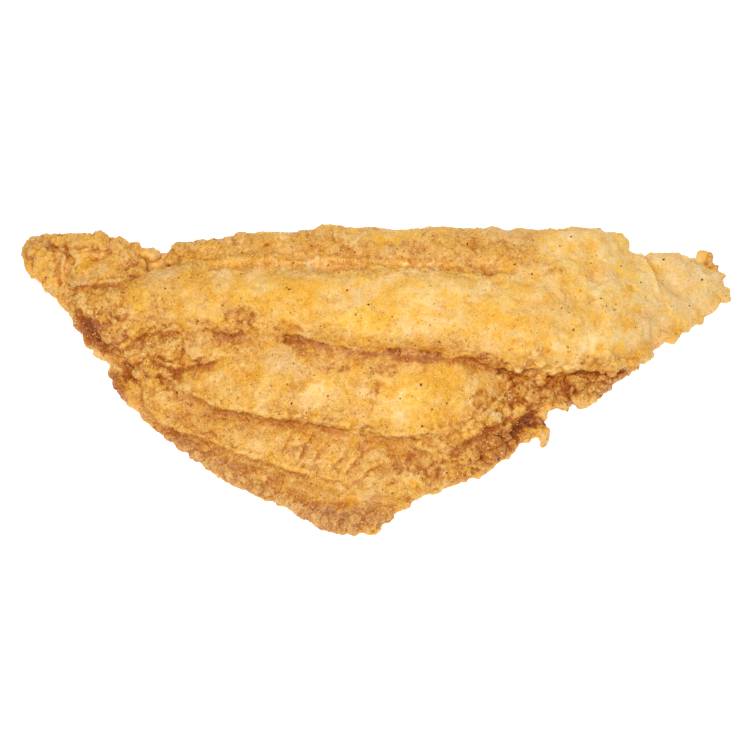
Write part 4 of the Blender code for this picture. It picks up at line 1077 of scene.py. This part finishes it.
def scatter(name, skin, clearance=0.02):
    spec = scattered[name]
    rng = np.random.default_rng(spec["seed"])
    points, normals, corners, area, shades, crag, edge = skin
    crag, edge = crag[corners].mean(axis=1), edge[corners].mean(axis=1)
    weight = spec["smoothShare"] + (1 - spec["smoothShare"]) * crag
    weight = area * (weight + spec["edgeShare"] * edge)
    count = spec["count"]
    chosen = corners[rng.choice(len(corners), count, p=weight / weight.sum())]
    share = rng.dirichlet((1, 1, 1), count)[:, :, None]
    place, out, under = ((part[chosen] * share).sum(axis=1) for part in (points, normals, shades))
    out /= np.linalg.norm(out, axis=1)[:, None]
    least, most = spec["radius"]
    radius = least + (most - least) * rng.random(count) ** spec["skew"]
    ball, faces = ballArrays(spec["grain"])
    across = np.cross(out, rng.normal(size=(count, 3)))
    across /= np.linalg.norm(across, axis=1)[:, None]
    along = np.cross(out, across)
    stretch = rng.uniform(0.8, 1.25, (count, 3)) * [1, 1, spec["flat"]]
    uneven = rng.uniform(1 - spec["rough"], 1 + spec["rough"], (count, len(ball), 1))
    local = ball[None] * uneven * (stretch * radius[:, None])[:, None]
    centre = place - out * (radius * stretch[:, 2] * spec["sink"])[:, None]
    world = centre[:, None]
    for k, axis in enumerate((across, along, out)):
        world = world + local[:, :, k : k + 1] * axis[:, None]
    world[:, :, 2] = np.maximum(world[:, :, 2], clearance)  # stays above the table
    faces = faces[None] + (np.arange(count) * len(ball))[:, None, None]
    mesh = bpy.data.meshes.new(name)
    mesh.from_pydata((world.reshape(-1, 3) * mm).tolist(), [], faces.reshape(-1, 3).tolist())
    under[:, 0] = np.clip(under[:, 0] + rng.uniform(*spec["browner"], count), 0, 1)
    storeShade(mesh, np.repeat(under, len(ball), axis=0))
    mesh.shade_smooth()
    obj = bpy.data.objects.new(name, mesh)
    bpy.context.scene.collection.objects.link(obj)
    print(name, "has", len(mesh.polygons), "triangles")
    return obj


def toLinear(hexColour):
    parts = [int(hexColour[i : i + 2], 16) / 255 for i in (0, 2, 4)]
    linear = [c / 12.92 if c <= 0.04045 else ((c + 0.055) / 1.055) ** 2.4 for c in parts]
    return (*linear, 1.0)


# Adds a node. Inputs are given by name or number, as values, as sockets to link, or as nodes
# whose first output is linked.
def addNode(tree, kind, inputs=(), **settings):
    node = tree.nodes.new("ShaderNode" + kind)
    for name, value in settings.items():
        setattr(node, name, value)
    for name, value in dict(inputs).items():
        if isinstance(value, bpy.types.Node):
            value = value.outputs[0]
        if isinstance(value, bpy.types.NodeSocket):
            tree.links.new(value, node.inputs[name])
        else:
            node.inputs[name].default_value = value
    return node


# A material from its recipe, which adds nodes and returns the shader's inputs.
def makeMaterial(recipe):
    material = bpy.data.materials.new(recipe.__name__)
    material.use_nodes = True
    tree = material.node_tree
    tree.nodes.clear()
    addNode(tree, "OutputMaterial", {"Surface": addNode(tree, "BsdfPrincipled", recipe(tree))})
    return material


# A ramp from the least value to the most, through colours at their positions.
def rampOver(tree, value, stops):
    ramp = addNode(tree, "ValToRGB", {"Fac": value})
    elements = ramp.color_ramp.elements
    while len(elements) < len(stops):
        elements.new(0.5)
    for element, (position, colour) in zip(elements, stops):
        element.position, element.color = position, toLinear(colour)
    return ramp


# What the mesh carries at each point: browning with painted shade, painted crease shade and yellow
# as sockets, then pink with painted shade.
def storedParts(tree):
    stored = addNode(tree, "Attribute", attribute_name="crustShade").outputs
    return addNode(tree, "SeparateColor", {"Color": stored["Color"]}).outputs, stored["Alpha"]


breadingLook = {
    # browning and painted shade to colour
    "ramp": [
        (0.0, "FFE3A8"), (0.12, "FFD784"), (0.26, "FCC963"), (0.42, "F2BE5C"),
        (0.58, "DFA048"), (0.74, "C27828"), (0.88, "9C5012"), (1.0, "66300A"),
    ],
    # colour, most of it that shows, blend
    "tints": {
        "cream": ("FFE2B4", 0.42, "MIX"),
        "butter": ("FFEE80", 0.8, "MULTIPLY"),
        # The pink tint also lies under some lips as painted shade.
        "pinkAndShade": ("E8C494", 0.7, "MIX"),
        "freckle": ("B8660C", 0.62, "MIX"),
        # The crease tint is painted shade in the creases.
        "creaseShade": ("C26C0C", 0.9, "MIX"),
    },
    # Fields of noise: size of the features in mm, detail and roughness of the noise.
    "fields": {
        "broad": (9.0, 3, 0.55), "middling": (2.6, 3, 0.55), "small": (0.9, 2, 0.55),
        "cream": (6.0, 3, 0.6), "butter": (4.5, 3, 0.6), "freckle": (1.1, 2, 0.6),
        "sand": (0.75, 1, 0.5), "fineSand": (0.38, 1, 0.5), "oilFilm": (1.4, 2, 0.5),
    },
    "mottle": {"broad": 0.10, "middling": 0.22, "small": 0.22},  # shift of the browning
    # How a field spreads its tint: how much browning and painted shade add to it, the values
    # where the tint starts and is full, and its share there.
    "spread": {
        "cream": (0.0, 0.54, 0.40, 1.0), "butter": (0.0, 0.455, 0.65, 0.9),
        "freckle": (0.3, 0.70, 0.86, 1.0),
    },
    # What changes with browning and painted shade: where it starts and ends, and its values there.
    "byBrowningAndShade": {
        "pale": (0.56, 0.28, 0.0, 1.0), "sandier": (0.2, 0.6, 0.6, 1.4),
        "rougher": (0.25, 0.55, 0.35, 1.3),
    },
    "sandColour": "D2AA6C",
    "sand": {"sand": 0.30, "fineSand": 0.40},  # how much of that colour they take
    "roughness": (0.40, 0.66),  # where the film of oil is thick, and where it is dry
    "bumps": [(1.1, 0.22), (0.5, 0.13)],  # size and depth in mm
}


# Deep-fried cornmeal breading: dry and sandy to the eye, gold to brown with how hard it
# fried and darker with painted shade in its creases and hollows, softly lit from within
# where it is thin, and with a faint film of oil.
def friedBreading(tree):
    look = breadingLook
    place = addNode(tree, "TexCoord").outputs["Object"]
    inMm = addNode(tree, "VectorMath", {0: place, "Scale": 1 / mm}, operation="SCALE")
    parts, pinkAndShade = storedParts(tree)
    fields, byBrowningAndShade = {}, {}
    for name, (size, detail, rough) in look["fields"].items():
        fields[name] = addNode(
            tree, "TexNoise",
            {"Vector": inMm, "Scale": 1 / size, "Detail": detail, "Roughness": rough},
        )
    for name, (start, end, least, most) in look["byBrowningAndShade"].items():
        byBrowningAndShade[name] = addNode(
            tree, "MapRange",
            {"Value": parts["Red"], "From Min": start, "From Max": end, "To Min": least,
             "To Max": most},
        )

    browningAndShade = parts["Red"]
    for name, shift in look["mottle"].items():
        centred = addNode(tree, "Math", {0: fields[name], 1: 0.5}, operation="SUBTRACT")
        browningAndShade = addNode(tree, "Math", {0: centred, 1: shift, 2: browningAndShade},
                           operation="MULTIPLY_ADD")
    shares = {"pinkAndShade": pinkAndShade, "creaseShade": parts["Green"]}
    for tint, (lean, start, end, most) in look["spread"].items():
        field = addNode(tree, "Math", {0: parts["Red"], 1: lean, 2: fields[tint]},
                        operation="MULTIPLY_ADD")
        shares[tint] = addNode(
            tree, "MapRange", {"Value": field, "From Min": start, "From Max": end, "To Max": most}
        )
    shares["cream"] = addNode(tree, "Math", {0: shares["cream"], 1: byBrowningAndShade["pale"]},
                              operation="MULTIPLY")
    shares["butter"] = addNode(tree, "Math", {0: shares["butter"], 1: parts["Blue"]},
                               operation="ADD", use_clamp=True)
    mixes = [(shares[tint], *how) for tint, how in look["tints"].items()]
    for name, most in look["sand"].items():
        grain = addNode(
            tree, "MapRange",
            {"Value": fields[name], "From Min": 0.62, "From Max": 0.34, "To Max": most},
        )
        mixes.append((grain, look["sandColour"], byBrowningAndShade["sandier"], "MULTIPLY"))
    colour = rampOver(tree, browningAndShade, look["ramp"]).outputs[0]
    for share, tint, most, blend in mixes:
        amount = addNode(tree, "Math", {0: share, 1: most}, operation="MULTIPLY", use_clamp=True)
        colour = addNode(
            tree, "Mix", {0: amount, 6: colour, 7: toLinear(tint)},
            data_type="RGBA", blend_type=blend,
        ).outputs[2]

    oiled, dry = look["roughness"]
    roughness = addNode(
        tree, "MapRange",
        {"Value": fields["oilFilm"], "From Min": 0.35, "From Max": 0.65, "To Min": oiled,
         "To Max": dry},
    )
    below = {}
    for size, depth in look["bumps"]:
        grain = addNode(
            tree, "TexVoronoi", {"Vector": inMm, "Scale": 1 / size, "Smoothness": 0.6},
            feature="SMOOTH_F1",
        )
        raised = addNode(tree, "Math", {0: byBrowningAndShade["rougher"], 1: depth * mm},
                         operation="MULTIPLY")
        below["Normal"] = addNode(
            tree, "Bump", {"Height": grain, "Distance": raised, **below}, invert=True
        )
    return {
        **below, "Base Color": colour, "Roughness": roughness, "IOR": 1.45,
        "Specular IOR Level": 0.4, "Subsurface Weight": 0.12,
        "Subsurface Radius": (1.0, 0.5, 0.2), "Subsurface Scale": 1.2 * mm,
        "Coat Weight": 0.06, "Coat Roughness": 0.25,
    }


# Cracked black pepper: flat, dry flakes, near black with a brown break.
def crackedPepper(tree):
    shades = [(0.0, "40200E"), (0.5, "713C16"), (1.0, "A4642A")]
    colour = rampOver(tree, storedParts(tree)[0]["Red"], shades)
    return {"Base Color": colour, "Roughness": 0.7, "IOR": 1.5, "Specular IOR Level": 0.25}


# Fine salt in a film of oil: tiny grains whose near-white colour is painted glints, and whose
# gloss catches the real light too.
def glossyPaintedGlints(tree):
    colour = rampOver(tree, storedParts(tree)[0]["Red"], [(0.0, "FFF2D0"), (1.0, "F6D08C")])
    return {"Base Color": colour, "Roughness": 0.18, "IOR": 1.54, "Specular IOR Level": 0.7}


# White acrylic over a light box: plain, matt and shadowless.
def lightBoxAcrylic(tree):
    return {"Base Color": toLinear("E6E6E6"), "Roughness": 0.9,
            "Emission Color": (1, 1, 1, 1), "Emission Strength": studio["tableGlow"]}


def placePieces():
    body = buildFillet()
    body.name = body.data.name = "breadedFillet"
    skin = skinTriangles(body)
    breading = makeMaterial(friedBreading)
    body.data.materials.clear()
    body.data.materials.append(breading)
    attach(body, "root")
    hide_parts("catfish_shank")
    finishes = {
        "breadingCrumbs": breading,
        "cornmealGrit": breading,
        "pepperSpecks": makeMaterial(crackedPepper),
        "paintedGlintGrains": makeMaterial(glossyPaintedGlints),
    }
    for name, finish in finishes.items():
        grains = scatter(name, skin)
        grains.data.materials.append(finish)
        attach(grains, "root")


studio = {
    "target": (-0.00018, -0.00158, 0.010),
    "elevation": 70.0,
    "distance": 0.615,
    "pictureWidth": 748,  # pixels
    "mmPerPixel": 210 / 709,
    "targetPixel": (374.5, 380.0),  # where the target shows
    "filmWidth": 36.0,
    "floorSize": 6.0,
    "floorDrop": 0.00005,  # keeps the floor just clear of the underside
    "tableGlow": 0.75,
    # place, size, power in watts
    "lamps": {
        "softBox": ((-0.07, -0.20, 0.6), 0.30, 3.1),
        "backFill": ((0.15, 0.45, 0.45), 0.4, 0.7),
    },
    "daylight": 0.30,
}


def placeStudio():
    scene = bpy.context.scene
    target = Vector(studio["target"])
    below = (0, 0, -studio["floorDrop"])
    bpy.ops.mesh.primitive_plane_add(size=studio["floorSize"], location=below)
    floor = bpy.context.object
    floor.name = "studioTable"
    floor.data.materials.append(makeMaterial(lightBoxAcrylic))
    for name, (place, size, power) in studio["lamps"].items():
        lamp = bpy.data.lights.new(name, "AREA")
        lamp.energy, lamp.size = power, size
        obj = bpy.data.objects.new(name, lamp)
        scene.collection.objects.link(obj)
        obj.location = place
        obj.rotation_euler = (Vector(place) - target).to_track_quat("Z", "Y").to_euler()
    scene.world = bpy.data.worlds.new("paleRoom")
    scene.world.use_nodes = True
    room = scene.world.node_tree.nodes["Background"]
    room.inputs["Color"].default_value = (1, 1, 1, 1)
    room.inputs["Strength"].default_value = studio["daylight"]

    lens = bpy.data.cameras.new("photoCamera")
    camera = bpy.data.objects.new("photoCamera", lens)
    scene.collection.objects.link(camera)
    angle = math.radians(studio["elevation"])
    back = Vector((0, -math.cos(angle), math.sin(angle)))
    camera.location = target + back * studio["distance"]
    camera.rotation_euler = back.to_track_quat("Z", "Y").to_euler()
    wide = studio["pictureWidth"]
    lens.sensor_width = studio["filmWidth"]
    lens.lens = lens.sensor_width * studio["distance"] / (wide * studio["mmPerPixel"] * mm)
    across, down = studio["targetPixel"]
    lens.shift_x, lens.shift_y = (wide / 2 - across) / wide, (down - wide / 2) / wide
    lens.clip_start = 0.01
    scene.camera = camera
    scene.view_settings.view_transform = "Standard"
    print("studio placed")


placePieces()
placeStudio()
